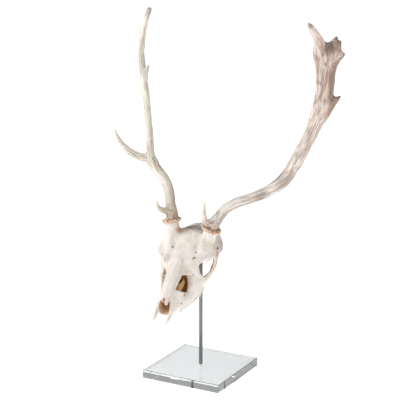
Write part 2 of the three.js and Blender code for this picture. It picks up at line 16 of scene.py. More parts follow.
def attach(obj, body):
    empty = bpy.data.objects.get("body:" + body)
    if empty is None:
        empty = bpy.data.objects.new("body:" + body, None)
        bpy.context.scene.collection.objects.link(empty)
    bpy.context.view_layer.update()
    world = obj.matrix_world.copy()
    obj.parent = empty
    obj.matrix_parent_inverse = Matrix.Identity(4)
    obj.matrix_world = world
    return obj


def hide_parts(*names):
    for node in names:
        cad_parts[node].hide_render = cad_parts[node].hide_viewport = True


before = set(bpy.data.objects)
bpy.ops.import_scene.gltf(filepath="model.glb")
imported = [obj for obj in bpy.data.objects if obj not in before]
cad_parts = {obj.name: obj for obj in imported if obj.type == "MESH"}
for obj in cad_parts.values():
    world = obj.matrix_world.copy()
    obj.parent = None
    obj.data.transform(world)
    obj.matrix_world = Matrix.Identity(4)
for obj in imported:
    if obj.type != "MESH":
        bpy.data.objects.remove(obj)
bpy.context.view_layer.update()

MM = 0.001
FAR = 1000.0

# The stand and the skull's place over it, in millimetres and degrees.
BASE_SIDE, BASE_HEIGHT, BASE_EDGE = 180, 18, 0.8
ROD_RADIUS, ROD_TOP, ROD_SEAT, GAP = 4, 290, 9, 0.3
NOSE_DOWN, ROLL, TURN = 26, 6, 5
SKULL_AT = (-12.5, 46, 251)
SKULL_PLACE = (
    Matrix.Translation(SKULL_AT)
    @ Matrix.Rotation(math.radians(TURN), 4, "Z")
    @ Matrix.Rotation(math.radians(ROLL), 4, "Y")
    @ Matrix.Rotation(math.radians(NOSE_DOWN), 4, "X")
)


# ------------------------------------------------------------- small maths ----
def smooth_through(keys, values, at):
    """Values at new keys, on a smooth curve through the given ones."""
    keys, values, at = (np.asarray(a, float) for a in (keys, values, at))
    slopes = np.gradient(values, keys, axis=0)
    i = np.clip(np.searchsorted(keys, at, side="right") - 1, 0, len(keys) - 2)
    column = (-1,) + (1,) * (values.ndim - 1)
    gap = (keys[i + 1] - keys[i]).reshape(column)
    t = ((at - keys[i]).reshape(column) / gap).clip(0, 1)
    ends = values[i] * (1 + 2 * t) * (1 - t) ** 2 + values[i + 1] * t * t * (3 - 2 * t)
    turns = slopes[i] * t * (1 - t) ** 2 + slopes[i + 1] * t * t * (t - 1)
    return ends + turns * gap


def lengths_along(points):
    steps = np.linalg.norm(np.diff(points, axis=0), axis=1)
    return np.concatenate([[0], np.cumsum(steps)])


def unit(vectors):
    return vectors / np.linalg.norm(vectors, axis=-1, keepdims=True)


def ramp(value, low, high):
    """0 below low, 1 above high, and smooth between."""
    t = np.clip((value - low) / (high - low), 0, 1)
    return t * t * (3 - 2 * t)


def noise(points, size, seed=0):
    """Smooth noise between -1 and 1, whose lumps are about `size` across."""
    scaled = points / np.asarray(size, float)
    cell = np.floor(scaled).astype(np.int64)
    t = scaled - cell
    t = t * t * (3 - 2 * t)
    total = np.zeros(len(points))
    for corner in product((0, 1), repeat=3):
        key = (cell + corner) @ np.array([73856093, 19349663, 83492791]) + seed * 7919
        key = (key ^ (key >> 13)) * 1274126177
        level = ((key ^ (key >> 16)) & 0xFFFF) / 32767.5 - 1
        total += level * np.where(corner, t, 1 - t).prod(axis=1)
    return total


def noises(points, *layers):
    """The sum of (height, size, seed) layers of noise."""
    return sum(height * noise(points, size, seed) for height, size, seed in layers)


def spot(points, centre, radii):
    """1 at the centre of an ellipsoid, falling to 0 at its surface."""
    away = np.linalg.norm((points - centre) / np.asarray(radii, float), axis=1)
    return 1 - ramp(away, 0.35, 1)


def spots(points, marks):
    """The sum of [centre, radii, strength] spots."""
    return sum(strength * spot(points, centre, radii) for centre, radii, strength in marks)


# ------------------------------------------------------------ solid shapes ----
# Each has a box (low, high) and near(axes), its signed distance on a grid,
# below 0 inside. The axes are three open arrays, as np.ix_ makes them.
def part_of(axes, low, high):
    """The slices of a grid that lie in a box, or None if they are empty."""
    window = []
    for axis, a, b in zip(axes, low, high):
        first, last = np.searchsorted(axis.ravel(), (a, b))
        if first == last:
            return None
        window.append(slice(first, last))
    return tuple(window)


def sub_axes(axes, window):
    x, y, z = axes
    return x[window[0], :, :], y[:, window[1], :], z[:, :, window[2]]


def elliptic(p, q, s, radii):
    """Nearly the distance to an ellipsoid with these offsets and half sizes."""
    a, b, c = radii
    k0 = np.sqrt((p / a) ** 2 + (q / b) ** 2 + (s / c) ** 2)
    k1 = np.sqrt((p / a**2) ** 2 + (q / b**2) ** 2 + (s / c**2) ** 2)
    return np.where(k0 < 1e-3, -np.minimum(a, c), k0 * (k0 - 1) / np.maximum(k1, 1e-6))


class Ball:
    def __init__(self, centre, radii):
        self.centre, self.radii = np.array(centre, float), np.array(radii, float)
        self.low, self.high = self.centre - self.radii, self.centre + self.radii

    def near(self, axes):
        offsets = [axis - c for axis, c in zip(axes, self.centre)]
        return elliptic(*offsets, self.radii)


class Branch:
    """A rounded solid through stations [x, y, z, half width, half height]."""

    REACH = 12

    def __init__(self, stations, up=(0, 0, 1), spacing=3.0):
        stations = np.array(stations, float)
        keys = lengths_along(stations[:, :3])
        count = int(np.ceil(keys[-1] / spacing)) + 1
        fine = smooth_through(keys, stations, np.linspace(0, keys[-1], count))
        self.points, self.sizes = fine[:, :3], np.maximum(fine[:, 3:5], 0.4)
        self.along = lengths_along(self.points)
        self.ahead = unit(np.gradient(self.points, axis=0))
        self.side = unit(np.cross(self.ahead, up))
        self.height = np.cross(self.side, self.ahead)
        most = self.sizes.max(axis=1, keepdims=True)
        self.low = (self.points - most).min(axis=0)
        self.high = (self.points + most).max(axis=0)

    def near(self, axes):
        value = np.full([axis.size for axis in axes], FAR, np.float32)
        for i in range(len(self.points) - 1):
            a, b = self.points[i], self.points[i + 1]
            margin = self.sizes[i : i + 2].max() + self.REACH
            window = part_of(axes, np.minimum(a, b) - margin, np.maximum(a, b) + margin)
            if window is not None:
                here = self.near_link(i, sub_axes(axes, window))
                value[window] = np.minimum(value[window], here)
        return value

    def near_link(self, i, axes):
        a, b = self.points[i], self.points[i + 1]
        offsets = [axis - c for axis, c in zip(axes, a)]
        step = b - a
        t = sum(d * s for d, s in zip(offsets, step)) / (step @ step)
        t = np.clip(t, 0, 1)
        offsets = [d - t * s for d, s in zip(offsets, step)]
        wide, high = (
            self.sizes[i][k] + t * (self.sizes[i + 1][k] - self.sizes[i][k]) for k in (0, 1)
        )
        p, q, s = (
            sum(d * c for d, c in zip(offsets, way[i]))
            for way in (self.side, self.height, self.ahead)
        )
        return elliptic(p, q, s, (wide, high, np.minimum(wide, high)))


class Body:
    """A solid through upright sections [y, ...half], alike on both sides.

    half runs [x, z] from the underside up to the top.
    """

    ANGLES = 181

    def __init__(self, sections):
        self.keys = np.array([section[0] for section in sections], float)
        halves = np.array([section[1:] for section in sections], float)
        self.mids = halves[:, [0, -1], 1].mean(axis=1)
        self.rows = np.array([self.row(h, m) for h, m in zip(halves, self.mids)])
        wide = halves[:, :, 0].max() + 2
        self.low = np.array([-wide, self.keys[0], halves[:, :, 1].min() - 2])
        self.high = np.array([wide, self.keys[-1], halves[:, :, 1].max() + 2])

    def row(self, half, mid):
        """Distances from the section's middle to its edge, from down to up."""
        mirror = half[-2:0:-1] * (-1, 1)
        loop = np.concatenate([half, mirror, half, mirror, half[:1]])
        keys = lengths_along(loop)
        first, last = keys[len(half) + len(mirror) - 2], keys[2 * len(half) + len(mirror) + 1]
        fine = smooth_through(keys, loop, np.linspace(first, last, 400)) - (0, mid)
        fine = fine[fine[:, 0] > -0.01]
        angles = np.arctan2(fine[:, 1], fine[:, 0].clip(0))
        order = np.argsort(angles)
        spread = np.linspace(-np.pi / 2, np.pi / 2, self.ANGLES)
        return np.interp(spread, angles[order], np.hypot(*fine[order].T))

    def near(self, axes):
        x, y, z = axes
        levels = y.ravel().clip(self.keys[0], self.keys[-1])
        rows = smooth_through(self.keys, self.rows, levels)
        mids = smooth_through(self.keys, self.mids, levels)
        across = np.abs(x[:, 0, :])
        value = np.empty([axis.size for axis in axes], np.float32)
        scale = (self.ANGLES - 1) / np.pi
        for k, (row, mid) in enumerate(zip(rows, mids)):
            up = z[0, :, :] - mid
            at = (np.arctan2(up, across) + np.pi / 2) * scale
            i = np.clip(at.astype(int), 0, self.ANGLES - 2)
            edge = row[i] + (row[i + 1] - row[i]) * (at - i)
            lean = (row[i + 1] - row[i]) * scale / edge
            value[:, k, :] = (np.hypot(across, up) - edge) / np.sqrt(1 + lean**2)
        return np.maximum(value, np.maximum(self.keys[0] - y, y - self.keys[-1]))

    def depth(self, points):
        """How far inside the surface points lie, towards their section's middle."""
        levels = np.linspace(self.keys[0], self.keys[-1], 240)
        rows = smooth_through(self.keys, self.rows, levels)
        mids = smooth_through(self.keys, self.mids, levels)
        x, y, z = points.T
        i = np.clip(np.searchsorted(levels, y), 0, len(levels) - 1)
        up = z - mids[i]
        turn = np.arctan2(up, np.abs(x)) / np.pi + 0.5
        return rows[i, (turn * (self.ANGLES - 1)).round().astype(int)] - np.hypot(x, up)


class Prism:
    """A flat outline of [y, z] corners, pushed from x0 to x1."""

    def __init__(self, outline, x0, x1):
        self.outline = np.array(outline, float)
        self.low = np.array([min(x0, x1), *self.outline.min(axis=0)])
        self.high = np.array([max(x0, x1), *self.outline.max(axis=0)])

    def near(self, axes):
        x, y, z = axes
        py, pz = np.broadcast_arrays(y, z)
        nearest = np.full(py.shape, FAR)
        inside = np.zeros(py.shape, bool)
        for (ay, az), (by, bz) in zip(self.outline, np.roll(self.outline, -1, axis=0)):
            sy, sz = by - ay, bz - az
            t = np.clip(((py - ay) * sy + (pz - az) * sz) / (sy * sy + sz * sz), 0, 1)
            nearest = np.minimum(nearest, np.hypot(py - ay - t * sy, pz - az - t * sz))
            if az != bz:
                crosses = ((az > pz) != (bz > pz)) & (py < ay + (pz - az) * sy / sz)
                inside ^= crosses
        flat = np.where(inside, -nearest, nearest)
        return np.maximum(flat, np.maximum(self.low[0] - x, x - self.high[0]))


class Scroll:
    """The wall of a shape, left open above a height."""

    def __init__(self, shape, thickness, top):
        self.shape, self.half, self.top = shape, thickness / 2, top
        self.low, self.high = shape.low - self.half, shape.high + self.half

    def near(self, axes):
        wall = np.abs(self.shape.near(axes)) - self.half
        return np.maximum(wall, axes[2] - self.top)


class Dome:
    """The half of a ball that lies ahead of a plane through its centre."""

    def __init__(self, centre, radius, ahead):
        self.centre, self.radius, self.ahead = np.array(centre), radius, ahead
        self.low, self.high = self.centre - radius, self.centre + radius

    def near(self, axes):
        offsets = [axis - c for axis, c in zip(axes, self.centre)]
        past = sum(d * n for d, n in zip(offsets, self.ahead))
        return np.maximum(np.sqrt(sum(d * d for d in offsets)) - self.radius, -past)


# --------------------------------------------------------- joining and skin ----
def joined(a, b, blend):
    near = np.maximum(blend - np.abs(a - b), 0) / blend
    return np.minimum(a, b) - near * near * blend / 4


def add(blend, *shapes):
    return [(joined, shape, blend) for shape in shapes]


def cut(blend, *shapes):
    def carved(a, b, blend):
        return -joined(-a, b, blend)

    return [(carved, shape, blend) for shape in shapes]


def value_on(axes, steps):
    value = np.full([axis.size for axis in axes], FAR, np.float32)
    for join, shape, blend in steps:
        window = part_of(axes, shape.low - blend - 1, shape.high + blend + 1)
        if window is not None:
            here = shape.near(sub_axes(axes, window))
            value[window] = join(value[window], here, blend)
    return value


BLOCK = 56  # cells along each side of a block of the grid
SKULL_CELL, TOOTH_CELL, ANTLER_CELL = 0.8, 0.5, 0.95  # their size in each piece's grid
CORNERS = np.array(list(product((0, 1), repeat=3)))
EDGES = [(a, b) for a, b in combinations(range(8), 2) if abs(CORNERS[a] - CORNERS[b]).sum() == 1]


def cell_points(value, cells):
    """A point in each crossed cell: the mean of the crossings on its edges."""
    at_corners = np.stack([value[tuple((cells + c).T)] for c in CORNERS], axis=1)
    total = np.zeros((len(cells), 3))
    count = np.zeros((len(cells), 1))
    for a, b in EDGES:
        fa, fb = at_corners[:, a], at_corners[:, b]
        crosses = (fa < 0) != (fb < 0)
        t = np.where(crosses, fa / np.where(crosses, fa - fb, 1), 0)[:, None]
        spot_on_edge = CORNERS[a] + t * (CORNERS[b] - CORNERS[a])
        total += spot_on_edge * crosses[:, None]
        count += crosses[:, None]
    return cells + total / count


def block_skin(value):
    """Crossed cells, their points, and faces as four cells each."""
    inside = value < 0
    counts = sum(inside[x : x + value.shape[0] - 1, y : y + value.shape[1] - 1,
                        z : z + value.shape[2] - 1].astype(np.uint8) for x, y, z in CORNERS)
    cells = np.argwhere((counts > 0) & (counts < 8))
    faces = []
    for axis in range(3):
        u, v = (axis + 1) % 3, (axis + 2) % 3
        ahead = np.roll(inside, -1, axis=axis)
        edges = np.argwhere(inside != ahead)
        top = np.array(value.shape) - 1
        edges = edges[(edges >= 1).all(axis=1) & (edges < top).all(axis=1)]
        back_u, back_v = np.eye(3, dtype=int)[u], np.eye(3, dtype=int)[v]
        around = [edges - back_u - back_v, edges - back_v, edges, edges - back_u]
        quads = np.stack(around, axis=1)
        backward = ~inside[tuple(edges.T)]
        quads[backward] = quads[backward][:, ::-1]
        faces.append(quads)
    return cells, cell_points(value, cells), np.concatenate(faces)


def skin_of(steps, step):
    """The surface of joined and carved shapes as points and four-sided faces."""
    added = [shape for join, shape, _ in steps if join is joined]
    low = np.min([shape.low for shape in added], axis=0) - 3 * step
    high = np.max([shape.high for shape in added], axis=0) + 3 * step
    blocks = np.ceil((high - low) / step / BLOCK).astype(int)
    size = blocks * BLOCK + 3
    weights = np.array([size[1] * size[2], size[2], 1])
    found = []
    for block in product(*map(range, blocks)):
        start = np.array(block) * BLOCK
        lines = [low[k] + step * np.arange(start[k], start[k] + BLOCK + 2) for k in range(3)]
        axes = np.ix_(*lines)
        if all(part_of(axes, s.low - 1, s.high + 1) is None for s in added):
            continue
        value = value_on(axes, steps)
        if not (value < 0).any():
            continue
        cells, points, faces = block_skin(value)
        if len(cells):
            found.append(((cells + start) @ weights, points + start, (faces + start) @ weights))
    keys, points, faces = (np.concatenate(part) for part in zip(*found))
    names, first = np.unique(keys, return_index=True)
    return low + step * points[first], np.searchsorted(names, faces)


def relaxed(points, faces, times, share=0.5):
    """The points, each moved towards the middle of its neighbours."""
    a = faces.ravel()
    b = np.roll(faces, -1, axis=1).ravel()
    ends, others = np.concatenate([a, b]), np.concatenate([b, a])
    count = np.bincount(ends, minlength=len(points))[:, None]
    for _ in range(times):
        total = np.stack(
            [np.bincount(ends, points[others, k], len(points)) for k in range(3)], axis=1
        )
        points = points + share * (total / np.maximum(count, 1) - points)
    return points


def normals_of(points, faces):
    corners = points[faces]
    across = np.cross(corners[:, 2] - corners[:, 0], corners[:, 3] - corners[:, 1])
    total = np.zeros_like(points)
    for k in range(3):
        for axis in range(3):
            total[:, axis] += np.bincount(faces[:, k], across[:, axis], len(points))
    length = np.linalg.norm(total, axis=1, keepdims=True)
    return total / np.maximum(length, 1e-9)


def largest_part(points, faces):
    """Drops loose crumbs: keeps only what hangs together with most faces."""
    label = np.arange(len(points))
    while True:
        least = label[faces].min(axis=1)
        new = label.copy()
        for k in range(4):
            np.minimum.at(new, faces[:, k], least)
        new = new[new]
        if (new == label).all():
            break
        label = new
    keep = label == np.bincount(label).argmax()
    number = np.cumsum(keep) - 1
    return points[keep], number[faces[keep[faces[:, 0]]]]


# ---------------------------------------------------------------- pieces ----
def make_piece(name, points, faces, marks, replaces, finish):
    """A mesh piece from points in the skull's frame, in millimetres."""
    place = np.array(SKULL_PLACE)
    placed = (points @ place[:3, :3].T + place[:3, 3]) * MM
    mesh = bpy.data.meshes.new(name)
    mesh.from_pydata(placed.tolist(), [], faces.tolist())
    for mark, values in marks.items():
        kind, field = ("FLOAT", "value") if values.ndim == 1 else ("FLOAT_VECTOR", "vector")
        layer = mesh.attributes.new(mark, kind, "POINT")
        layer.data.foreach_set(field, values.astype(np.float32).ravel())
    mesh.shade_smooth()
    mesh.materials.append(finish)
    piece = bpy.data.objects.new(name, mesh)
    bpy.context.scene.collection.objects.link(piece)
    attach(piece, "root")
    if replaces:
        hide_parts(*replaces)
    return piece


def flip(stations, side):
    """Stations of the left side, on the left (1) or the right (-1)."""
    return [[x * side, *rest] for x, *rest in stations]


def side_ball(side, centre, radii):
    return Ball(np.multiply(centre, (side, 1, 1)), radii)


# ----------------------------------------------------------------- finishes ----
def colour(red, green, blue):
    """A colour's linear values, from its usual 0 to 255 ones."""
    def linear(level):
        level /= 255
        return level / 12.92 if level < 0.04045 else ((level + 0.055) / 1.055) ** 2.4

    return (linear(red), linear(green), linear(blue), 1)


class Finish:
    """One procedural material and the nodes that make it."""

    def __init__(self, name):
        self.material = bpy.data.materials.new(name)
        self.material.use_nodes = True
        self.tree = self.material.node_tree
        self.shader = self.tree.nodes["Principled BSDF"]
        self.place = self.node("TexCoord").outputs["Object"]

    def node(self, kind, settings=(), inputs=(), **named):
        """A new node; inputs holds those whose key isn't a plain word."""
        node = self.tree.nodes.new("ShaderNode" + kind)
        for name, value in dict(settings).items():
            setattr(node, name, value)
        self.feed_all(node, {**dict(inputs), **named})
        return node

    def feed_all(self, node, inputs):
        for key, value in inputs.items():
            self.feed(node.inputs[key], value)

    def feed(self, socket, value):
        if isinstance(value, bpy.types.NodeSocket):
            self.tree.links.new(value, socket)
        else:
            socket.default_value = value

    def mark(self, name, output="Fac"):
        return self.node("Attribute", {"attribute_name": name}).outputs[output]

    def noise(self, size_mm, detail=4, rough=0.55, place=None, unit_mm=1000):
        """Noise from 0 to 1 with lumps about size_mm across."""
        vector = place or self.place
        texture = self.node(
            "TexNoise", Vector=vector, Scale=unit_mm / size_mm, Detail=detail, Roughness=rough
        )
        return texture.outputs["Fac"]

    def stretched(self, name, across, along):
        """An attribute's vector, scaled so that noise runs along its third axis."""
        vector = self.mark(name, "Vector")
        scale = (1 / across, 1 / across, 1 / along)
        return self.node("Mapping", Vector=vector, Scale=scale).outputs["Vector"]

    def between(self, value, low, high, to_low=0.0, to_high=1.0):
        """A value's place from low to high, taken smoothly from to_low to to_high."""
        ends = {"From Min": low, "From Max": high, "To Min": to_low, "To Max": to_high}
        settings = {"interpolation_type": "SMOOTHSTEP"}
        return self.node("MapRange", settings, ends, Value=value).outputs["Result"]

    def times(self, a, b):
        return self.node("Math", {"operation": "MULTIPLY"}, {0: a, 1: b}).outputs[0]

    def plus(self, a, b):
        settings = {"operation": "ADD", "use_clamp": True}
        return self.node("Math", settings, {0: a, 1: b}).outputs[0]

    def mix(self, share, a, b):
        return self.node("Mix", {"data_type": "RGBA"}, {0: share, 6: a, 7: b}).outputs[2]

    def overlaid(self, tone, *overlays):
        """The tone under (mark or value, most share, colour) overlays, one over another: stains,
        painted shade and painted highlight.
        """
        for where, most, overlay_tone in overlays:
            share = self.mark(where) if isinstance(where, str) else where
            tone = self.mix(self.times(share, most), tone, overlay_tone)
        return tone

    def shade(self, inputs, height, depth_mm, strength):
        """Feeds the shader, with bumps of this depth. Returns the material."""
        self.feed_all(self.shader, inputs)
        bump = self.node("Bump", Height=height, Strength=strength, Distance=depth_mm * MM)
        self.feed(self.shader.inputs["Normal"], bump.outputs["Normal"])
        return self.material


def bone_finish():
    finish = Finish("dry bone")
    lumps = finish.between(finish.noise(18), 0.42, 0.66)
    tone = finish.mix(lumps, colour(243, 236, 229), colour(232, 221, 208))
    cloud = finish.between(finish.noise(14, 3), 0.52, 0.7)
    fine = finish.between(finish.noise(2.2, 6, 0.6), 0.54, 0.74)
    tone = finish.overlaid(
        tone, (cloud, 0.35, colour(216, 213, 211)), (fine, 0.16, colour(196, 178, 156))
    )
    # Stains and painted shade: the grey mark is partly painted shade, and the marks in dips and
    # small holes are painted shade.
    patchy_stains_and_shade = [
        ("grey_and_shade", colour(140, 128, 118), 0.95, 4),
        ("ochre", colour(205, 152, 92), 0.85, 5),
        ("brown", colour(132, 84, 40), 0.95, 4),
        ("hollow", colour(214, 158, 84), 0.97, 6),
        # painted shade: darker in the dips of the surface
        ("crevice_shade", colour(168, 140, 110), 0.6, 3),
        ("seam", colour(150, 124, 98), 0.45, 2),
        # painted shade: near black in the small holes
        ("shaded_pit", colour(70, 46, 30), 1.0, 20),
    ]
    for name, overlay_tone, most, size in patchy_stains_and_shade:
        patchy = finish.between(finish.noise(size, 5, 0.62), 0.3, 0.6, 0.45, 1)
        tone = finish.overlaid(tone, (finish.times(finish.mark(name), patchy), most, overlay_tone))
    pores = finish.node("TexVoronoi", Vector=finish.place, Scale=620.0).outputs["Distance"]
    holes = finish.between(pores, 0.05, 0.16, 1, 0)
    holes = finish.times(holes, finish.between(finish.noise(9), 0.52, 0.7))
    tone = finish.overlaid(
        # the first is painted highlight, lighter where the surface stands out
        tone, ("edge", 0.35, colour(252, 247, 240)), (holes, 0.5, colour(140, 108, 76))
    )
    rough = finish.between(finish.noise(5), 0.3, 0.7, 0.5, 0.72)
    grain = finish.plus(finish.times(finish.noise(1.6, 6, 0.65), 0.8), finish.times(holes, -0.6))
    inputs = {"Base Color": tone, "Roughness": rough, "Specular IOR Level": 0.35}
    return finish.shade(inputs, grain, 0.35, 0.55)


def enamel_finish():
    finish = Finish("tooth enamel")
    lumps = finish.between(finish.noise(3), 0.4, 0.7)
    tone = finish.mix(lumps, colour(232, 227, 220), colour(210, 202, 192))
    tone = finish.overlaid(
        # the first is painted shade, darker in the dips of the teeth
        tone, ("crevice_shade", 0.8, colour(112, 92, 74)), ("crown", 0.75, colour(110, 80, 52))
    )
    inputs = {"Base Color": tone, "Roughness": finish.between(lumps, 0, 1, 0.28, 0.5)}
    return finish.shade(inputs, finish.noise(0.9), 0.15, 0.4)


def antler_finish(name, pale, streak, dark, share):
    """Antler: streaks and grooves along its length, darker in the grooves."""
    finish = Finish(name)
    wide = finish.noise(1, 4, 0.5, finish.stretched("grain", 9, 55), 1)
    fine = finish.noise(1, 5, 0.6, finish.stretched("grain", 2.4, 38), 1)
    patches = finish.between(finish.noise(30, 3), 0.5, 0.7)
    threads = finish.between(fine, 0.53, 0.62)
    tan = finish.between(finish.noise(6, 4), 0.4, 0.62, 0.25, 0.85)
    gaps = finish.between(finish.noise(2.6, 3), 0.47, 0.57)
    blade = finish.mix(
        finish.between(wide, 0.46, 0.62), colour(238, 218, 206), colour(194, 158, 142)
    )
    browner = finish.mix(
        finish.between(fine, 0.4, 0.6), colour(170, 138, 116), colour(112, 86, 70)
    )
    pearls = finish.mix(gaps, colour(242, 212, 186), colour(156, 98, 56))
    tone = finish.overlaid(
        pale,
        (finish.between(wide, 0.47, 0.6), share, streak),
        (patches, 0.4 * share, dark),
        ("blade", 1, blade),
        (threads, share, dark),
        # the palm's back edge: browner, and partly painted shade
        ("back_brown_and_shade", 0.85, browner),
        ("bend", 0.5, colour(150, 136, 126)),
        ("groove", 0.7, dark),
        ("low", tan, colour(160, 126, 92)),
        ("tip", 0.6, colour(228, 214, 184)),
        ("end", 0.65, colour(104, 90, 78)),
        ("burr", 1, pearls),
        # painted shade: darker in the dips of the antler
        ("crevice_shade", 0.75, dark),
        # painted highlight: paler where the antler stands out
        ("edge", 0.4, pale),
    )
    rough = finish.between(fine, 0.3, 0.7, 0.42, 0.62)
    grain = finish.plus(fine, finish.times(finish.noise(1.5, 5), 0.4))
    inputs = {"Base Color": tone, "Roughness": rough, "Specular IOR Level": 0.4}
    return finish.shade(inputs, grain, 0.5, 0.6)


ACRYLIC_IOR = 1.49


def acrylic_finish():
    """Clear acrylic, a little wavy where it was polished."""
    finish = Finish("clear acrylic")
    inputs = {
        # The grey tint is painted shade, for the dimmer light seen through the block; clear
        # acrylic is nearly colourless.
        "Base Color": (0.84, 0.86, 0.865, 1),
        "Transmission Weight": 1,
        "IOR": ACRYLIC_IOR,
        "Roughness": finish.between(finish.noise(40, 3), 0.4, 0.7, 0.0, 0.03),
    }
    return finish.shade(inputs, finish.noise(35, 2), 0.12, 0.3)


def rod_finish():
    """Satin steel, with the fine rings that turning leaves."""
    finish = Finish("brushed steel")
    place = finish.node("Mapping", Vector=finish.place, Scale=(60, 60, 5200)).outputs["Vector"]
    rings = finish.noise(1, 3, 0.6, place, 1)
    inputs = {
        "Base Color": finish.mix(rings, colour(112, 113, 114), colour(142, 142, 143)),
        "Metallic": 1,
        "Roughness": finish.between(rings, 0.3, 0.7, 0.3, 0.46),
    }
    return finish.shade(inputs, rings, 0.03, 0.35)


# ------------------------------------------------------------------ skull ----
CRANIUM = [
    [-204, [0, 7], [13, 7], [16.5, 13], [16, 24], [12, 35], [7, 41], [0, 43.5]],
    [-186, [0, 4], [15, 4], [20, 11], [19, 27], [15.5, 43], [9, 51.5], [0, 54]],
    [-170, [0, 3], [20, 2], [26, 9], [23, 26], [18, 45], [11, 58], [0, 62]],
    [-150, [0, 3], [26, 1], [35, 12], [28, 28], [22, 48], [14, 63], [0, 69]],
    [-130, [0, 5], [28, 3], [41, 14], [38, 34], [27, 56], [16, 69], [0, 74.5]],
    [-113, [0, 8], [28, 5], [43, 18], [42, 42], [38, 62], [22, 75], [0, 79]],
    [-99, [0, 14], [22, 10], [32, 20], [34, 42], [35, 66], [22, 80], [0, 83]],
    [-84, [0, 20], [11, 18], [20, 30], [26, 48], [30, 68], [22, 83], [0, 87.5]],
    [-69, [0, 21], [11, 20], [20, 32], [29, 50], [31, 70], [22, 86], [0, 92]],
    [-54, [0, 20], [12, 20], [26, 30], [34, 50], [35, 70], [24, 89], [0, 95.5]],
    [-39, [0, 18], [14, 18], [30, 28], [39, 48], [38, 70], [25, 89], [0, 97]],
    [-24, [0, 17], [16, 17], [34, 26], [44, 46], [42, 66], [25, 83], [0, 91]],
    [-10, [0, 17], [20, 18], [37, 28], [46, 46], [42, 62], [24, 74], [0, 80]],
    [-3, [0, 22], [16, 22], [30, 30], [37, 45], [33, 58], [20, 68], [0, 74]],
]
FRONTAL_ROOF = [
    [-124, [0, 64], [13, 60], [21, 57], [25, 60], [22, 67], [12, 73], [0, 75.5]],
    [-113, [0, 68], [21, 62], [33, 61], [36, 65.5], [32, 71], [20, 77.5], [0, 80]],
    [-104, [0, 70], [27, 69], [38, 71], [41, 74], [36, 77], [23, 80.5], [0, 82.5]],
    [-95, [0, 72], [31, 70], [44.5, 72], [48, 75], [41, 79], [25, 83], [0, 85]],
    [-84, [0, 75], [32, 72], [55, 70], [59.5, 73], [48, 81], [27, 86], [0, 88.5]],
    [-74, [0, 78], [32, 74], [54, 70], [60, 73], [49, 83], [28, 89], [0, 92]],
    [-64, [0, 80], [32, 76], [48, 75], [53, 79], [45, 87], [27, 92.5], [0, 95]],
    [-52, [0, 82], [30, 78], [42, 79], [46, 83], [40, 91], [25, 95], [0, 97]],
    [-40, [0, 80], [26, 76], [36, 76], [39, 80], [34, 89], [22, 95], [0, 98]],
]
NASAL_CAVITY = [
    [-240, [0, 6], [9, 7], [11.5, 14], [11, 28], [7, 32], [0, 33]],
    [-205, [0, 7], [9, 8], [11.5, 16], [10.5, 29], [6, 37], [0, 40]],
    [-186, [0, 8], [10, 9], [13, 17], [12, 32], [7, 42], [0, 46]],
    [-160, [0, 10], [15, 11], [20, 20], [20, 40], [14, 56], [0, 60]],
    [-138, [0, 14], [16, 15], [22, 26], [21, 46], [14, 62], [0, 67]],
    [-120, [0, 24], [8, 26], [14, 34], [13, 48], [8, 58], [0, 61]],
]
GAP_BEFORE_ORBIT = [[-142, 62], [-125, 52], [-133, 40], [-149, 24], [-161, 37], [-173, 51]]
RIGHT_GAP = [[-142, 58], [-121, 52], [-127, 37], [-146, 20], [-161, 37], [-173, 49]]
# Where the muzzle's walls slope from the nasal bones down to its tips.
NOSTRIL_NOTCH = [[-216, 52], [-189, 52], [-194, 37], [-204, 24], [-216, 15]]
GAP_REACH = (12, 60)  # distances of the gaps' ends from the midline
# Balls: a centre and radii, for the left side where they are paired.
ORBIT = ORBIT_AT, ORBIT_SIZE = (50, -97, 53), (24, 18, 18)
RIGHT_BROW = [((-47.5, -91, 72.5), (12.5, 17, 5)), ((-34.5, -109.5, 65.5), (6.5, 9, 6))]
CONDYLE, BULLA = ((12, -6, 22), (8, 8, 11)), ((21, -32, 19), (9, 13, 9))
TEMPORAL_SWELLING = (41, -27, 46), (12, 13, 16)
PALATE_VAULT, INNER_NOSTRILS = ((0, -138, -2), (17, 44, 6)), ((0, -82, 14), (10, 16, 9))
FORAMEN_MAGNUM = (0, 1, 35), (9, 13, 8)
OPTIC_HOLE, EAR_HOLE = ((27, -91, 45), (3, 3.4, 3)), ((46, -30, 33), (5, 3.4, 3.4))
SEPTUM = (0, -150, 30), (0.9, 46, 24)
PEDICLE = [
    [29, -83, 72, 16, 12],
    [35, -72, 81, 17, 15],
    [39, -60, 94, 14.6, 14.6],
    [41.8, -53, 106, 13.9, 13.9],
    [43.2, -49.2, 113.6, 13.8, 13.8],
]
CREST_HALF = [[0, 0, 73, 5, 5.5], [20, -2, 69, 4.5, 5], [38, -7, 57, 4, 5], [43, -12, 42, 4, 5]]
NUCHAL_CREST = flip(CREST_HALF[:0:-1], -1) + CREST_HALF
KEEL = [[0, 0, 20, 11, 6], [0, -32, 22, 11, 7], [0, -62, 27, 9, 8], [0, -90, 28, 8, 9]]
PAROCCIPITAL_HOOK = [[35, -14, 34, 7, 6], [32, -12, 19, 4.5, 3.6], [28, -14, 3, 2, 2]]
ZYGOMATIC_ARCH = [
    [33, -129, 27, 6, 10],
    [43, -117, 29, 5.5, 10],
    [50.2, -103, 32, 3.5, 8.3],
    [54.8, -88, 37, 2.9, 6.8],
    [56, -72, 43, 3.2, 5.5],
    [53, -58, 46, 3.4, 5],
    [49, -45, 46, 4.2, 5],
    [40, -31, 44, 6, 6],
]
POSTORBITAL_BAR = [
    [49, -70, 82, 6, 6],
    [55, -70, 75, 4, 5.5],
    [57.1, -72, 63, 3.4, 5.5],
    [56.3, -76, 51, 3.2, 5.6],
    [54.4, -83, 39, 3, 6.3],
]
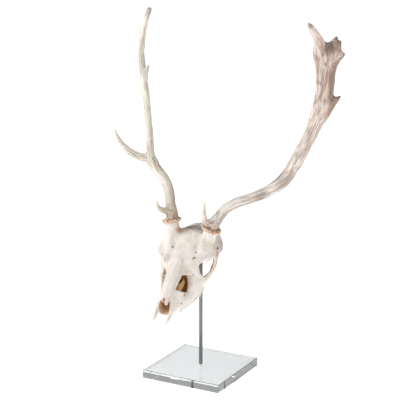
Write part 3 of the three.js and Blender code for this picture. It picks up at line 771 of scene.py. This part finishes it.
LEFT_ORBIT_RIM = [
    [46, -93, 75, 2, 2.2],
    [39.6, -103, 74.6, 2, 2.2],
    [36.6, -110, 69, 2, 2.4],
    [36.5, -115, 57, 2, 2.6],
    [39, -115.5, 47, 2, 2.8],
    [45, -112, 38, 2, 3],
]
RIGHT_ORBIT_RIM = [
    [-49, -101, 69, 4, 4],
    [-43, -109, 65, 4, 5],
    [-41, -114, 56, 4, 5],
    [-42, -115, 46, 3, 4],
    [-46, -112, 38, 2, 3],
]
# Shallow valleys beside the forehead, as the tools that scoop them.
VALLEYS = [
    [[-24, -78, 97.5, 5, 4], [-26, -94, 89.5, 6, 5], [-26, -106, 84, 5, 4], [-25, -112, 82, 3, 3]],
    [[18, -58, 100.5, 4, 4], [20.5, -75, 96, 4, 4.5], [24, -87, 90.5, 4, 4], [26, -97, 88, 3, 3]],
]
TOOTH_BONE = [
    [17, -180, 6, 4, 4],
    [22, -165, 5.5, 6, 5.5],
    [28, -147, 5, 7, 6],
    [32.5, -125, 5, 7.5, 6],
    [34, -106, 6.5, 7, 7],
    [32, -94, 9.5, 5, 6],
]
MUZZLE_LEAN = -0.7
PREMAXILLA_WALL = [
    [15.2, -178, 24, 2.8, 15],
    [15.1, -190, 21, 2.8, 14],
    [15.3, -200, 16, 2.9, 11],
    [15.2, -209, 11.5, 3.1, 8],
    [14.3, -219, 8, 2.9, 5],
    [13.2, -226.5, 6, 1.7, 2.4],
]
PALATE_FLOOR = [[0, -170, 5, 15, 2.5], [-0.4, -190, 5, 14, 2], [-0.7, -204, 5, 13.5, 1.4]]
SCROLLED_BONE = [[9, -186, 24, 3.4, 6], [11, -165, 32, 5, 9], [11, -138, 40, 5, 9]]
SCROLL_THICKNESS, SCROLL_TOP = 1.4, 46
NASAL = [
    [4, -116, 74.8, 4, 2.4],
    [5.6, -133, 69.2, 5.8, 2.6],
    [6, -152, 63.5, 6.3, 2.6],
    [6, -170, 56.5, 6.3, 2.6],
    [5.8, -186, 48.6, 5.9, 2.4],
]
NASAL_TIPS = {1: [7.6, -206, 38.2, 3.4, 1.4], -1: [5.2, -200, 41.6, 3.4, 1.6]}
NASAL_SLOPE = 0.36
# Small holes for nerves and vessels, each as a centre and a radius.
FORAMINA = [
    [(26.1, -91.6, 83), 1.5],
    [(27.6, -103, 79.2), 2.1],
    [(26, -106, 78.6), 1.6],
    [(-25.9, -90.6, 82.8), 1.7],
    [(31.2, -125.1, 52.7), 1.5],
    [(34.1, -122.7, 48.7), 1.4],
    [(26, -158.1, 27), 2.2],
    [(-26, -158.1, 27), 2.2],
    [(23.6, -174.1, 16.9), 1.6],
    [(46.5, -36.4, 53.3), 1.8],
    [(-46.5, -36.4, 53.3), 1.8],
]
# The burrs, where each antler grows out of its pedicle.
BURR_AT, BURR_NORMAL = np.array([43.5, -48.6, 115.6]), unit(np.array([0.24, 0.38, 0.89]))
BURR_RADIUS, BURR_TUBE = {1: 18.6, -1: 16.8}, 3.7
SPLIT_BELOW_BURR, SPLIT_REACH = 3.0, 24


def burr_place(side, ahead=0.0):
    """The middle of a burr, moved along its normal, and that normal."""
    flip_x = np.array([side, 1, 1])
    return (BURR_AT + ahead * BURR_NORMAL) * flip_x, BURR_NORMAL * flip_x


def rod_room(radius):
    """The space round the rod, in the skull's frame."""
    back = SKULL_PLACE.inverted()
    ends = [back @ Vector((0, 0, z)) for z in (BASE_HEIGHT, ROD_TOP + GAP)]
    return Branch([[*end, radius, radius] for end in ends], up=(1, 0, 0), spacing=20)


def face_side(side):
    """What is added on one side of the skull."""
    wall = [[x + MUZZLE_LEAN, *rest] for x, *rest in flip(PREMAXILLA_WALL, side)]
    split, normal = burr_place(side, -SPLIT_BELOW_BURR - GAP / 2)
    return [
        *add(6, Branch(flip(ZYGOMATIC_ARCH, side))),
        *add(5, Branch(flip(POSTORBITAL_BAR, side), up=(0, 1, 0))),
        *add(4, Branch(LEFT_ORBIT_RIM if side > 0 else RIGHT_ORBIT_RIM, up=(1, 0, 0))),
        *add(10, Branch(flip(PEDICLE, side), up=(1, 0, 0))),
        *cut(0.4, Dome(split, SPLIT_REACH, normal)),
        *add(5, Branch(flip(TOOTH_BONE, side))),
        *add(4, Branch(wall)),
        *add(4, side_ball(side, *CONDYLE), side_ball(side, *BULLA)),
        *add(9, side_ball(side, *TEMPORAL_SWELLING)),
        *add(4, Branch(flip(PAROCCIPITAL_HOOK, side), up=(0, 1, 0))),
    ]


def hollows(side):
    """What is carved out of one side of the skull."""
    outline = GAP_BEFORE_ORBIT if side > 0 else RIGHT_GAP
    return [
        *cut(2.5, Prism(outline, *(x * side for x in GAP_REACH))),
        *cut(0.8, Ball((6 * side + MUZZLE_LEAN, -192, 1.4), (2.4, 8, 3.4))),  # palate groove
        *cut(2, side_ball(side, *OPTIC_HOLE)),
        *cut(1.5, side_ball(side, *EAR_HOLE)),
    ]


def inside_nose():
    """The septum and the scrolled bones seen through the openings of the nose."""
    steps = add(1, Ball(*SEPTUM))
    for side in (1, -1):
        scroll = Scroll(Branch(flip(SCROLLED_BONE, side)), SCROLL_THICKNESS, SCROLL_TOP)
        steps += add(1, scroll)
    return steps


def skull_steps():
    """All that is added and carved, in order, to make the skull."""
    steps = add(1, Body(CRANIUM))
    steps += cut(2, side_ball(1, *ORBIT), side_ball(-1, *ORBIT))
    steps += add(4, Body(FRONTAL_ROOF), *[Ball(*lump) for lump in RIGHT_BROW])
    for side in (1, -1):
        steps += face_side(side)
    steps += add(4, Branch(NUCHAL_CREST, up=(0, 1, 0)), Branch(KEEL))
    steps += add(2, Branch(PALATE_FLOOR))
    steps += cut(1, Body(NASAL_CAVITY))
    steps += cut(2, Prism(NOSTRIL_NOTCH, -30, 30))
    for side in (1, -1):
        nasal = flip([*NASAL, NASAL_TIPS[side]], side)
        steps += add(5, Branch(nasal, up=(NASAL_SLOPE * side, 0, 1)))
    steps += cut(9, *[Branch(valley) for valley in VALLEYS])
    steps += cut(3, Ball(*PALATE_VAULT), Ball(*INNER_NOSTRILS), Ball(*FORAMEN_MAGNUM))
    for side in (1, -1):
        steps += hollows(side)
    steps += inside_nose()
    steps += cut(0.8, *[Ball(at, (r, r, r * 1.6)) for at, r in FORAMINA])
    return steps + cut(0.3, rod_room(ROD_RADIUS + GAP))


SEAM_DEPTH, SEAM_WIDTH = 0.32, 0.9


def seam_marks(points, normals):
    """1 along the lines where the skull's bones have grown together."""
    x, y, z = points.T
    wiggle = noises(points, (1.3, 3.2, 1), (0.7, 1.6, 2))
    upward = normals[:, 2] > 0.25
    side_x = np.abs(x)
    nasal = np.array([*NASAL, NASAL_TIPS[1]])
    nasal_edge = np.interp(-y, -nasal[:, 1], nasal[:, 0] + 0.96 * nasal[:, 3])
    lines = [
        (x + wiggle, upward & (y > -112) & (y < -36)),
        (y + 36 - 0.1 * side_x + 1.4 * wiggle, upward & (side_x < 44)),
        (y + 113 + 0.3 * side_x + wiggle, upward & (side_x < 9)),
        (side_x - nasal_edge, (normals[:, 2] > 0.1) & (y < -114) & (z > 30)),
        (x, upward & (y < -113) & (y > -204) & (z > 30)),
        (y + 183 - 0.35 * (z - 20) + wiggle, (side_x > 12) & (z > 3) & (z < 46)),
        (y + 114 - 0.5 * (z - 60) + wiggle, (side_x > 14) & (z > 56) & (z < 76)),
    ]
    seams = np.zeros(len(points))
    for distance, where in lines:
        seams = np.maximum(seams, where * (1 - ramp(np.abs(distance), 0.1, SEAM_WIDTH)))
    return seams * (0.3 + 0.7 * ramp(noise(points, 13, 3), -0.5, 0.3))


def hollow_and_raised(points, faces, normals, times):
    """Marks for where the surface dips in, which the finishes darken as painted shade, and where
    it stands out, which they lighten as painted highlight.
    """
    rise = ((points - relaxed(points, faces, times)) * normals).sum(axis=1)
    return {"crevice_shade": ramp(-rise, 0.06, 0.6), "edge": ramp(rise, 0.05, 0.5)}


def skull_stains_and_shade(points, normals):
    """Marks for the bone's stains, grey that is partly painted shade, painted shade in its small
    holes, and the inside of the nose.
    """
    x, y, z = points.T
    uneven = 0.85 + 0.35 * noise(points, 14, 5)
    inside = ramp(Body(NASAL_CAVITY).depth(points), -1.6, 0.6) * (y < -113)
    floor = ramp(-z, -22, -12) * ramp(-y, 186, 202)
    golden = inside * ramp(y, -214, -204) * (1 - 0.7 * floor)
    gap_wall = ramp(Body(CRANIUM).depth(points), 1.2, 3) * (y > -176) * (y < -113)
    gap_wall = gap_wall * (z > 12) * (x < -14)
    # Grey, partly stain and partly painted shade: the poll, the temple walls and the valleys
    # beside the brows are greyed as if turned from the light.
    grey_and_shade = spots(points, [
        [(-2, -20, 94), (40, 34, 26), 1.1],
        [(18, -40, 97), (22, 14, 14), 0.9],
        [(-8, -36, 96), (20, 14, 14), 0.8],
        [(45, -26, 50), (20, 18, 24), 0.7],
        [(-45, -26, 50), (20, 18, 24), 0.6],
        [(-29, -114, 70), (13, 18, 14), 0.7],
        [(-26, -94, 86), (8, 20, 10), 0.55],
        [(21, -76, 92), (6, 22, 10), 0.35],
        [(-36, -140, 30), (14, 24, 24), 0.4],
        [(38, -70, 96), (7, 22, 18), 0.35],
    ])
    ochre = spots(points, [
        [(-27, -56, 101), (12, 12, 14), 1.0],
        [(52, -64, 82), (10, 14, 14), 0.6],
        [(59, -70, 70), (9, 9, 9), 0.8],
        [(22, -132, 56), (12, 18, 16), 0.5],
        [(-22, -132, 56), (12, 18, 16), 0.6],
        [(0, -120, 2), (40, 90, 14), 0.5],
        [(-1, -198, 12), (16, 24, 14), 0.6],
        [(59, -84, 46), (9, 26, 26), 0.55],
    ])
    arch, eye = (
        sum(spot(points, np.multiply(at, (side, 1, 1)), radii) for side in (1, -1))
        for at, radii in [((52, -88, 48), (20, 42, 40)), (ORBIT_AT, (30, 26, 26))]
    )
    inward = 0.6 * normals[:, 2] - normals[:, 0] * np.sign(x) + 0.25 * noise(points, 4, 6)
    brown = 1.6 * arch * ramp(inward, -0.2, 0.3) * ramp(np.abs(x), 41, 46) * (z < 66)
    brown = brown + 0.55 * eye * ramp(-np.abs(x), -47, -38) * ramp(-z, -72, -62) + gap_wall
    brown = brown + 0.8 * golden * ramp(y, -182, -172)
    # Painted shade in the small holes for nerves and vessels; the same mark also sinks them.
    shaded_pit = np.zeros(len(points))
    for at, radius in FORAMINA:
        shaded_pit = np.maximum(shaded_pit, spot(points, at, (1.5 * radius,) * 3))
    return {
        "shaded_pit": shaded_pit,
        "inside": inside,
        "hollow": golden,
        "grey_and_shade": (grey_and_shade * uneven).clip(0, 1),
        "ochre": (ochre * uneven).clip(0, 1),
        "brown": (brown * uneven).clip(0, 1),
    }


def build_skull():
    points, faces = largest_part(*skin_of(skull_steps(), SKULL_CELL))
    points = relaxed(points, faces, 2)
    normals = normals_of(points, faces)
    marks = skull_stains_and_shade(points, normals) | hollow_and_raised(points, faces, normals, 10)
    marks["seam"] = seam_marks(points, normals)
    # Less painted shade in the dips inside the nose.
    marks["crevice_shade"] = marks["crevice_shade"] * (1 - 0.85 * marks.pop("inside"))
    rough = noises(points, (0.32, 15, 11), (0.16, 6, 12), (0.09, 2.4, 13))
    pits = 0.25 * ramp(noise(points, 2.0, 14), 0.55, 0.95) * marks["ochre"]
    lift = (1 - 0.7 * marks["hollow"]) * rough - pits - SEAM_DEPTH * marks["seam"] - marks["shaded_pit"]
    points = points + normals * lift[:, None]
    bones = [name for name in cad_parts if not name.startswith(("antler", "stand"))]
    return make_piece("skull_bone", points, faces, marks, bones, bone_finish())


# ------------------------------------------------------------------ teeth ----
# Each cheek tooth as [x, y, half width, half length], from the front.
CHEEK_TEETH = [
    [18.5, -171.5, 4, 5.4],
    [22.5, -160.6, 5, 5.3],
    [26.4, -149.8, 5.8, 5.3],
    [30.2, -137.4, 6.3, 6.8],
    [33, -122.6, 6.7, 7.7],
    [34.4, -107, 6.4, 7.6],
]
TOOTH_ROOT, TOOTH_CROWN, TOOTH_ROW_TURN = 4, -9, 0.25
# All that lies below the crowns, as an outline and its reach from the midline.
WORN_AWAY = [[-190, -30], [-80, -30], [-80, TOOTH_CROWN], [-190, TOOTH_CROWN]]
WORN_REACH = (8, 50)
# The size of a tooth's lobe at three heights, as shares of its width and length.
LOBE_SIZES = [(TOOTH_ROOT, 0.9, 0.9), (-3, 0.96, 0.97), (TOOTH_CROWN, 0.84, 0.9)]


def tooth_steps(x, y, width, length, side):
    """One tooth: one or two lobes with a crescent worn into each."""
    along = np.array([-math.sin(TOOTH_ROW_TURN) * side, -math.cos(TOOTH_ROW_TURN), 0])
    lobes = 2 if length > 6 else 1
    half = length / lobes
    shifts = [along * half * (2 * lobe + 1 - lobes) for lobe in range(lobes)]
    steps = []
    for shift in shifts:
        middle = np.array([x * side, y, 0]) + shift
        column = [[*(middle + (0, 0, z)), width * w, half * h] for z, w, h in LOBE_SIZES]
        steps += add(0.8, Branch(column, up=along, spacing=2))
    for shift in shifts:
        middle = np.array([x * side, y, TOOTH_CROWN]) + shift
        steps += cut(0.6, Ball(middle, (width * 0.32, half * 0.62, 1.6)))
    return steps


def build_teeth(side):
    worn = Prism(WORN_AWAY, *(x * side for x in WORN_REACH))
    steps = []
    for tooth in CHEEK_TEETH:
        steps += tooth_steps(*tooth, side)
    points, faces = skin_of(steps + cut(0.6, worn), TOOTH_CELL)
    points = relaxed(points, faces, 1)
    normals = normals_of(points, faces)
    marks = hollow_and_raised(points, faces, normals, 8)
    marks["crown"] = ramp(-points[:, 2], 7.6, 8.6) * ramp(-normals[:, 2], 0.2, 0.7)
    points = points + normals * (0.1 * noise(points, (1.2, 1.2, 5), 21))[:, None]
    name = "cheek_teeth_left" if side > 0 else "cheek_teeth_right"
    return make_piece(name, points, faces, marks, [], enamel_finish())


# ---------------------------------------------------------------- antlers ----
BRANCH_UP, BLADE_UP = (1, -0.6, 0.1), (0.75, -0.6, -0.25)
LEFT_BEAM = [
    [43.5, -48.6, 115.2, 13, 13],
    [47, -43, 123, 12.5, 12.5],
    [53, -31, 132, 11.3, 11.3],
    [61, -14, 142, 10.6, 10.6],
    [75, 1, 148, 10.5, 10.5],
    [92, 14, 152, 10.6, 10.6],
    [112, 27, 156, 11, 11],
    [134, 44, 163, 11.8, 11.8],
    [155, 63, 176, 13.2, 13.2],
    [166, 76, 190, 13.4, 13],
    [175, 89, 208, 12.4, 12.4],
    [186, 105, 233, 12.8, 12],
]
LEFT_PALM = [
    [175, 89, 208, 12.4, 12.4],
    [186, 105, 233, 13.4, 12],
    [197, 120.5, 258, 16.5, 11],
    [205.5, 135, 285, 20.5, 10],
    [213, 148, 314, 23, 9],
    [216, 160.5, 345, 23, 8],
    [215, 173, 378, 24.5, 7],
    [213, 185, 409, 28.5, 6],
    [210, 190, 424, 26, 5],
]
# The palm's points, from the lowest on its back edge up to the top one.
LEFT_PALM_POINTS = [
    [[212, 137, 299, 12, 6], [217, 146, 303, 22, 6.6], [224, 159, 309, 19, 5.8],
     [231, 171, 314, 12, 4.6], [236, 180, 317, 6.5, 3.4], [238.4, 186, 319, 2.2, 2]],
    [[213, 178, 393, 12, 5], [219, 188, 394, 24, 5.6], [226, 201, 396, 18, 4.8],
     [232, 210, 396.5, 11, 3.8], [236, 216.5, 397, 5.5, 3], [237.6, 218.8, 397.4, 2, 1.9]],
    [[216, 190, 401, 6, 4.5], [221, 199, 407, 9, 4.5], [225, 208, 414, 7, 3.8],
     [228, 215, 419.5, 4.4, 3], [229.5, 219, 423, 2, 1.8]],
    [[209, 182, 405, 8, 5], [214, 191, 414, 16, 5], [219, 202, 424, 11.5, 4.2],
     [222, 210, 431, 6.5, 3.2], [224, 215.5, 435.5, 2.2, 2]],
    [[209, 180, 398, 8, 5], [206, 177.5, 418, 14, 5.8], [203, 178.5, 435, 12.5, 5.6],
     [197.5, 178.5, 453, 8.6, 5], [190, 175, 470, 6.6, 4.4], [186, 173, 480, 4.6, 3.7],
     [184, 172, 484.5, 2.6, 2.4]],
]
LEFT_BROW_TINE = [
    [46, -43, 128, 8.5, 8.5],
    [40, -52, 132, 7.8, 7.8],
    [36, -57, 141, 6.6, 6.6],
    [36, -57, 157, 4.8, 4.8],
    [36, -53, 175, 3, 3],
    [37, -48, 187.5, 0.9, 0.9],
]
RIGHT_BEAM = [
    [-43.5, -48.6, 115.2, 13, 13],
    [-47, -39, 125, 12, 12],
    [-55, -26, 136, 10.6, 10.6],
    [-62, -12, 145, 10.3, 10.3],
    [-72, 3, 154, 10.4, 10.4],
    [-90, 21, 160, 11, 11],
    [-114, 39, 165, 11.3, 11.3],
    [-129, 52, 168.5, 10.8, 10.8],
    [-139, 65, 177, 9.5, 9],
    [-146, 79, 188, 8.4, 8.2],
    [-153, 97, 207, 7.6, 7.6],
    [-162, 115, 229, 7.6, 7.6],
    [-172, 135, 254, 7.9, 7.9],
    [-182, 154, 282, 7.9, 7.9],
    [-194, 175, 314, 7.4, 7.4],
    [-200, 192, 349, 6.9, 6.9],
    [-198, 207, 385, 6.5, 6.5],
    [-191, 215, 414, 6, 6],
    [-184, 220, 433, 5.3, 5.3],
]
RIGHT_SPUR = [[-185, 164, 300, 6, 5], [-183, 173, 314, 4.5, 4], [-181, 178, 322, 3, 2.6]]
RIGHT_TREZ_TINE = [
    [-127, 53, 168, 9.6, 9.6],
    [-143, 57, 173, 9, 9],
    [-160, 52, 179, 8.3, 8.3],
    [-178, 49, 190, 7.3, 7.3],
    [-194, 49, 206, 5.6, 5.6],
    [-207, 53, 224, 3.5, 3.5],
    [-212.8, 59, 239, 0.9, 0.9],
]
RIGHT_BROW_TINE = [
    [-48, -36, 131, 8, 8],
    [-55, -45, 135, 7.4, 7.4],
    [-61, -53, 141, 6.2, 6.2],
    [-66, -58, 152, 4.4, 4.4],
    [-69, -56, 166.5, 1.2, 1.2],
]
PEARLS_ROUND_BURR, PEARLS_FADE = 27, 80
TAN_REACH = {1: 24, -1: 60}  # of the tan stretch over each burr


def burr(side):
    """The ring of pearls at an antler's base."""
    centre, normal = burr_place(side)
    across = unit(np.cross(normal, (0, 1, 0)))
    ahead = np.cross(normal, across)
    chance = np.random.default_rng(7 + side)
    turns = np.linspace(0, 2 * np.pi, PEARLS_ROUND_BURR, endpoint=False)
    spokes = np.cos(turns)[:, None] * across + np.sin(turns)[:, None] * ahead
    inner = centre + spokes * (BURR_RADIUS[side] - 1.5)
    core = Branch([[*p, 3, 2.9] for p in [*inner, inner[0], inner[1]]], up=normal)
    steps = add(2, core)
    for spoke in spokes:
        radius = chance.uniform(2.3, 3.3)
        out = BURR_RADIUS[side] + BURR_TUBE - radius + chance.uniform(-1.2, 0)
        lift = chance.uniform(-0.8, 1.0)
        stretch = chance.uniform(0.9, 1.25, 3)
        steps += add(1.6, Ball(centre + spoke * out + normal * lift, radius * stretch))
    return steps


def between(table, at):
    """Rows of a table at places between them."""
    i = np.clip(at.astype(int), 0, len(table) - 2)
    t = (at - i)[:, None]
    return table[i] * (1 - t) + table[i + 1] * t


def along_branches(points, branches):
    """Each point's offsets across its nearest branch, its length along and to the end."""
    nearest = np.full(len(points), FAR)
    places = np.zeros((len(points), 4))
    for branch in branches:
        middle = branch.sizes.mean(axis=1)
        for rows in np.array_split(np.arange(len(points)), len(points) // 15000 + 1):
            here = points[rows]
            gaps = np.linalg.norm(here[:, None] - branch.points, axis=2) - middle
            i = gaps.argmin(axis=1)
            past = ((here - branch.points[i]) * branch.ahead[i]).sum(axis=1)
            at = i + np.clip(past / branch.along[1], -0.5, 0.5)
            at = at.clip(0, len(branch.points) - 1)
            offset = here - between(branch.points, at)
            ways = (between(branch.side, at), between(branch.height, at))
            across = [(offset * way).sum(axis=1) for way in ways]
            far_along = between(branch.along[:, None], at)[:, 0]
            place = np.stack([*across, far_along, branch.along[-1] - far_along], axis=1)
            closer = gaps.min(axis=1) < nearest[rows]
            nearest[rows[closer]] = gaps.min(axis=1)[closer]
            places[rows[closer]] = place[closer]
    return places


def burr_ring(points, side):
    """1 on an antler's burr, and how far points lie beyond it along the beam."""
    centre, normal = burr_place(side)
    beyond = (points - centre) @ normal
    out = np.linalg.norm(points - centre - beyond[:, None] * normal, axis=1)
    close = 1 - ramp(np.abs(beyond), 4, 6.5)
    return close * ramp(out, BURR_RADIUS[side] - 5, BURR_RADIUS[side] - 2), beyond


def build_antler(side, joins, paint, finish):
    """An antler: branches joined, grooved along their lengths and pearled at the base.

    paint(points, places) gives the marks of this antler alone.
    """
    branches = [branch for _, branch in joins]
    steps = [step for blend, branch in joins for step in add(blend, branch)]
    split, normal = burr_place(side, -SPLIT_BELOW_BURR + GAP / 2)
    steps += burr(side) + cut(0.4, Dome(split, SPLIT_REACH, -normal))
    points, faces = largest_part(*skin_of(steps, ANTLER_CELL))
    points = relaxed(points, faces, 2)
    normals = normals_of(points, faces)
    places = along_branches(points, branches)
    grain = places[:, :3]
    ring, beyond = burr_ring(points, side)
    waves = noises(grain, (1, (3.6, 3.6, 52), 31), (0.5, (1.9, 1.9, 24), 32))
    marks = hollow_and_raised(points, faces, normals, 8) | paint(points, places)
    tip = marks["tip"]
    groove = (1 - ramp(np.abs(waves), 0.02, 0.27)) * (1 - 0.8 * tip) * (1 - ring)
    groove = groove * (0.25 + 0.75 * ramp(noise(points, 26, 33), -0.4, 0.4))
    pearls = ramp(noise(points, 3.4, 34), 0.25, 0.8) * (1 - ramp(beyond, 8, PEARLS_FADE))
    lift = noises(points, (0.3, 12, 35), (0.14, 3, 36)) - 0.85 * groove + 0.8 * pearls
    marks |= {
        "groove": groove,
        "grain": grain,
        "burr": ring,
        "low": 1 - ramp(beyond + 6 * noise(points, 9, 37), 2, TAN_REACH[side]),
    }
    points = points + normals * (lift * (1 - 0.7 * tip))[:, None]
    name = "left" if side > 0 else "right"
    nodes = [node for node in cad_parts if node.startswith(f"antler_{name}")]
    return make_piece(f"antler_{name}", points, faces, marks, nodes, finish)


def paint_left(points, places):
    """The palm is browner than the beam, most of all on its points, and browner and darker on its
    back edge, partly painted shade.
    """
    x, y, z = points.T
    palm = ramp(z + 12 * noise(points, 30, 41), 225, 330)
    # The palm's back edge: partly its own brown, partly painted shade for the side turned from the
    # light.
    back = (points - (214, 162, 345)) @ unit(np.array([0.5, 0.8, -0.33]))
    back_brown_and_shade = palm * ramp(back + 5 * noise(points, (12, 12, 40), 42), -6, 12)
    back_brown_and_shade = back_brown_and_shade * (1 - 0.7 * ramp(z, 378, 402))
    end = (1 - ramp(places[:, 3], 2, 14)) * (z > 300)
    tine = (1 - ramp(places[:, 3], 4, 40)) * (y < -20)
    bend = spots(points, [
        [(158, 66, 178), (30, 30, 30), 1],
        [(120, 34, 158), (26, 26, 26), 0.6],
    ])
    return {"blade": 0.8 * palm, "back_brown_and_shade": back_brown_and_shade, "tip": tine, "end": end, "bend": bend}


def paint_right(points, places):
    """Pale tines, and a beam that is browner at the top and in its bends."""
    z = points[:, 2]
    none = np.zeros(len(points))
    top = ramp(z + 8 * noise(points, 16, 43), 405, 436)
    tips = (1 - ramp(places[:, 3], 4, 45)) * (z < 260)
    bend = spots(points, [
        [(-190, 176, 322), (20, 26, 60), 0.7],
        [(-60, -14, 144), (24, 24, 24), 0.5],
    ])
    return {"blade": none, "back_brown_and_shade": none, "tip": tips, "end": 0.7 * top, "bend": bend}


def build_left_antler():
    joins = [
        (1, Branch(LEFT_BEAM, up=BRANCH_UP)),
        (6, Branch(LEFT_PALM, up=BLADE_UP)),
        *((12, Branch(table, up=BLADE_UP)) for table in LEFT_PALM_POINTS),
        (6, Branch(LEFT_BROW_TINE, up=BRANCH_UP)),
    ]
    finish = antler_finish(
        "left antler", colour(243, 236, 228), colour(206, 182, 168), colour(146, 122, 108), 0.7
    )
    return build_antler(1, joins, paint_left, finish)


def build_right_antler():
    tables = [(1, RIGHT_BEAM), (5, RIGHT_SPUR), (7, RIGHT_TREZ_TINE), (6, RIGHT_BROW_TINE)]
    joins = [(blend, Branch(table, up=BRANCH_UP)) for blend, table in tables]
    finish = antler_finish(
        "right antler", colour(240, 233, 221), colour(212, 197, 178), colour(150, 130, 110), 0.42
    )
    return build_antler(-1, joins, paint_right, finish)


# ------------------------------------------------------------------ stand ----
def turned(profile, sides=96):
    """Points and faces of a closed turned solid, from [radius, z] pairs."""
    ring = [(math.cos(a), math.sin(a)) for a in np.linspace(0, 2 * math.pi, sides, endpoint=False)]
    points = [(r * c * MM, r * s * MM, z * MM) for r, z in profile for c, s in ring]
    faces = [
        (row * sides + k, row * sides + (k + 1) % sides,
         (row + 1) * sides + (k + 1) % sides, (row + 1) * sides + k)
        for row in range(len(profile) - 1)
        for k in range(sides)
    ]
    last = (len(profile) - 1) * sides
    faces += [tuple(reversed(range(sides))), tuple(range(last, last + sides))]
    return points, faces


def plain_object(name, points, faces):
    mesh = bpy.data.meshes.new(name)
    mesh.from_pydata(points, [], faces)
    thing = bpy.data.objects.new(name, mesh)
    bpy.context.scene.collection.objects.link(thing)
    return thing


def applied(thing, kind, **settings):
    """Adds a modifier, applies it, and leaves the mesh it made."""
    modifier = thing.modifiers.new(kind, kind)
    for name, value in settings.items():
        setattr(modifier, name, value)
    shaped = bpy.data.meshes.new_from_object(
        thing.evaluated_get(bpy.context.evaluated_depsgraph_get())
    )
    thing.modifiers.clear()
    thing.data = shaped


def build_base():
    half = BASE_SIDE / 2 * MM
    corners = [(x * half, y * half, z * BASE_HEIGHT * MM)
               for z in (0, 1) for x, y in ((-1, -1), (1, -1), (1, 1), (-1, 1))]
    sides = [(k, (k + 1) % 4, (k + 1) % 4 + 4, k + 4) for k in range(4)]
    base = plain_object("base_block", corners, [(3, 2, 1, 0), (4, 5, 6, 7), *sides])
    applied(base, "BEVEL", width=BASE_EDGE * MM, segments=3)
    seat = plain_object("seat_tool", *turned(
        [[ROD_RADIUS + GAP, ROD_SEAT - GAP], [ROD_RADIUS + GAP, BASE_HEIGHT + 1]]))
    applied(base, "BOOLEAN", operation="DIFFERENCE", solver="EXACT", object=seat)
    bpy.data.objects.remove(seat)
    base.data.materials.clear()
    base.data.materials.append(acrylic_finish())
    base.data.shade_flat()
    finish_piece(base, "stand_base")


def build_rod():
    chamfer = 0.4
    rod = plain_object("stand_post", *turned([
        [ROD_RADIUS - chamfer, ROD_SEAT],
        [ROD_RADIUS, ROD_SEAT + chamfer],
        [ROD_RADIUS, ROD_TOP - chamfer],
        [ROD_RADIUS - chamfer, ROD_TOP],
    ]))
    rod.data.shade_smooth()
    rod.data.materials.append(rod_finish())
    finish_piece(rod, "stand_rod")


def finish_piece(piece, node):
    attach(piece, "root")
    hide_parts(node)


# ------------------------------------------------------- floor, light, view ----
FLOOR_GLOW, SKY_GLOW = 0.72, 0.4
FLOOR_RADIUS, FLOOR_BOTTOM, FLOOR_TOP = 30000, -2, -0.2
WHITE = (1, 1, 1, 1)


def build_floor():
    profile = [[FLOOR_RADIUS, FLOOR_BOTTOM], [FLOOR_RADIUS, FLOOR_TOP]]
    floor = plain_object("studio_floor", *turned(profile, 64))
    finish = Finish("studio floor")
    tone = finish.mix(finish.noise(300), (0.93, 0.93, 0.93, 1), (0.95, 0.95, 0.95, 1))
    finish.feed_all(finish.shader, {
        "Base Color": tone,
        "Roughness": 1,
        "Specular IOR Level": 0,
        "Emission Color": WHITE,
        "Emission Strength": FLOOR_GLOW,
    })
    floor.data.materials.append(finish.material)


def add_light(name, at, aim, size, power):
    lamp = bpy.data.lights.new(name, "AREA")
    lamp.size, lamp.energy = size, power
    light = bpy.data.objects.new(name, lamp)
    bpy.context.scene.collection.objects.link(light)
    light.location = at
    light.rotation_euler = (Vector(aim) - Vector(at)).to_track_quat("-Z", "Y").to_euler()


def build_light():
    world = bpy.data.worlds.new("studio")
    world.use_nodes = True
    sky = world.node_tree.nodes["Background"].inputs
    sky["Color"].default_value = WHITE
    sky["Strength"].default_value = SKY_GLOW
    bpy.context.scene.world = world
    for lamp in LAMPS:
        add_light(*lamp)


# Name, place, aim, size in metres and power in watts.
LAMPS = [
    ("key", (-1.3, -1.5, 2.0), (0, 0, 0.35), 1.0, 34),
    ("fill", (2.4, -1.2, 1.2), (0, 0, 0.3), 1.6, 4),
]
# The camera's place in metres, its turn in degrees, and its lens and sensor in mm.
CAMERA_AT, CAMERA_TURN = (1.1043, -2.0172, 0.9025), (90 - 12.95, 0, 28.74)
LENS, SENSOR = 103.5, 36


def build_camera():
    camera = bpy.data.objects.new("camera", bpy.data.cameras.new("camera"))
    camera.data.lens, camera.data.sensor_width = LENS, SENSOR
    camera.location = CAMERA_AT
    camera.rotation_euler = [math.radians(turn) for turn in CAMERA_TURN]
    bpy.context.scene.collection.objects.link(camera)
    bpy.context.scene.camera = camera
    bpy.context.scene.view_settings.view_transform = "Standard"


def main():
    build_camera()
    build_light()
    build_floor()
    build_skull()
    build_teeth(1)
    build_teeth(-1)
    build_left_antler()
    build_right_antler()
    build_base()
    build_rod()


main()
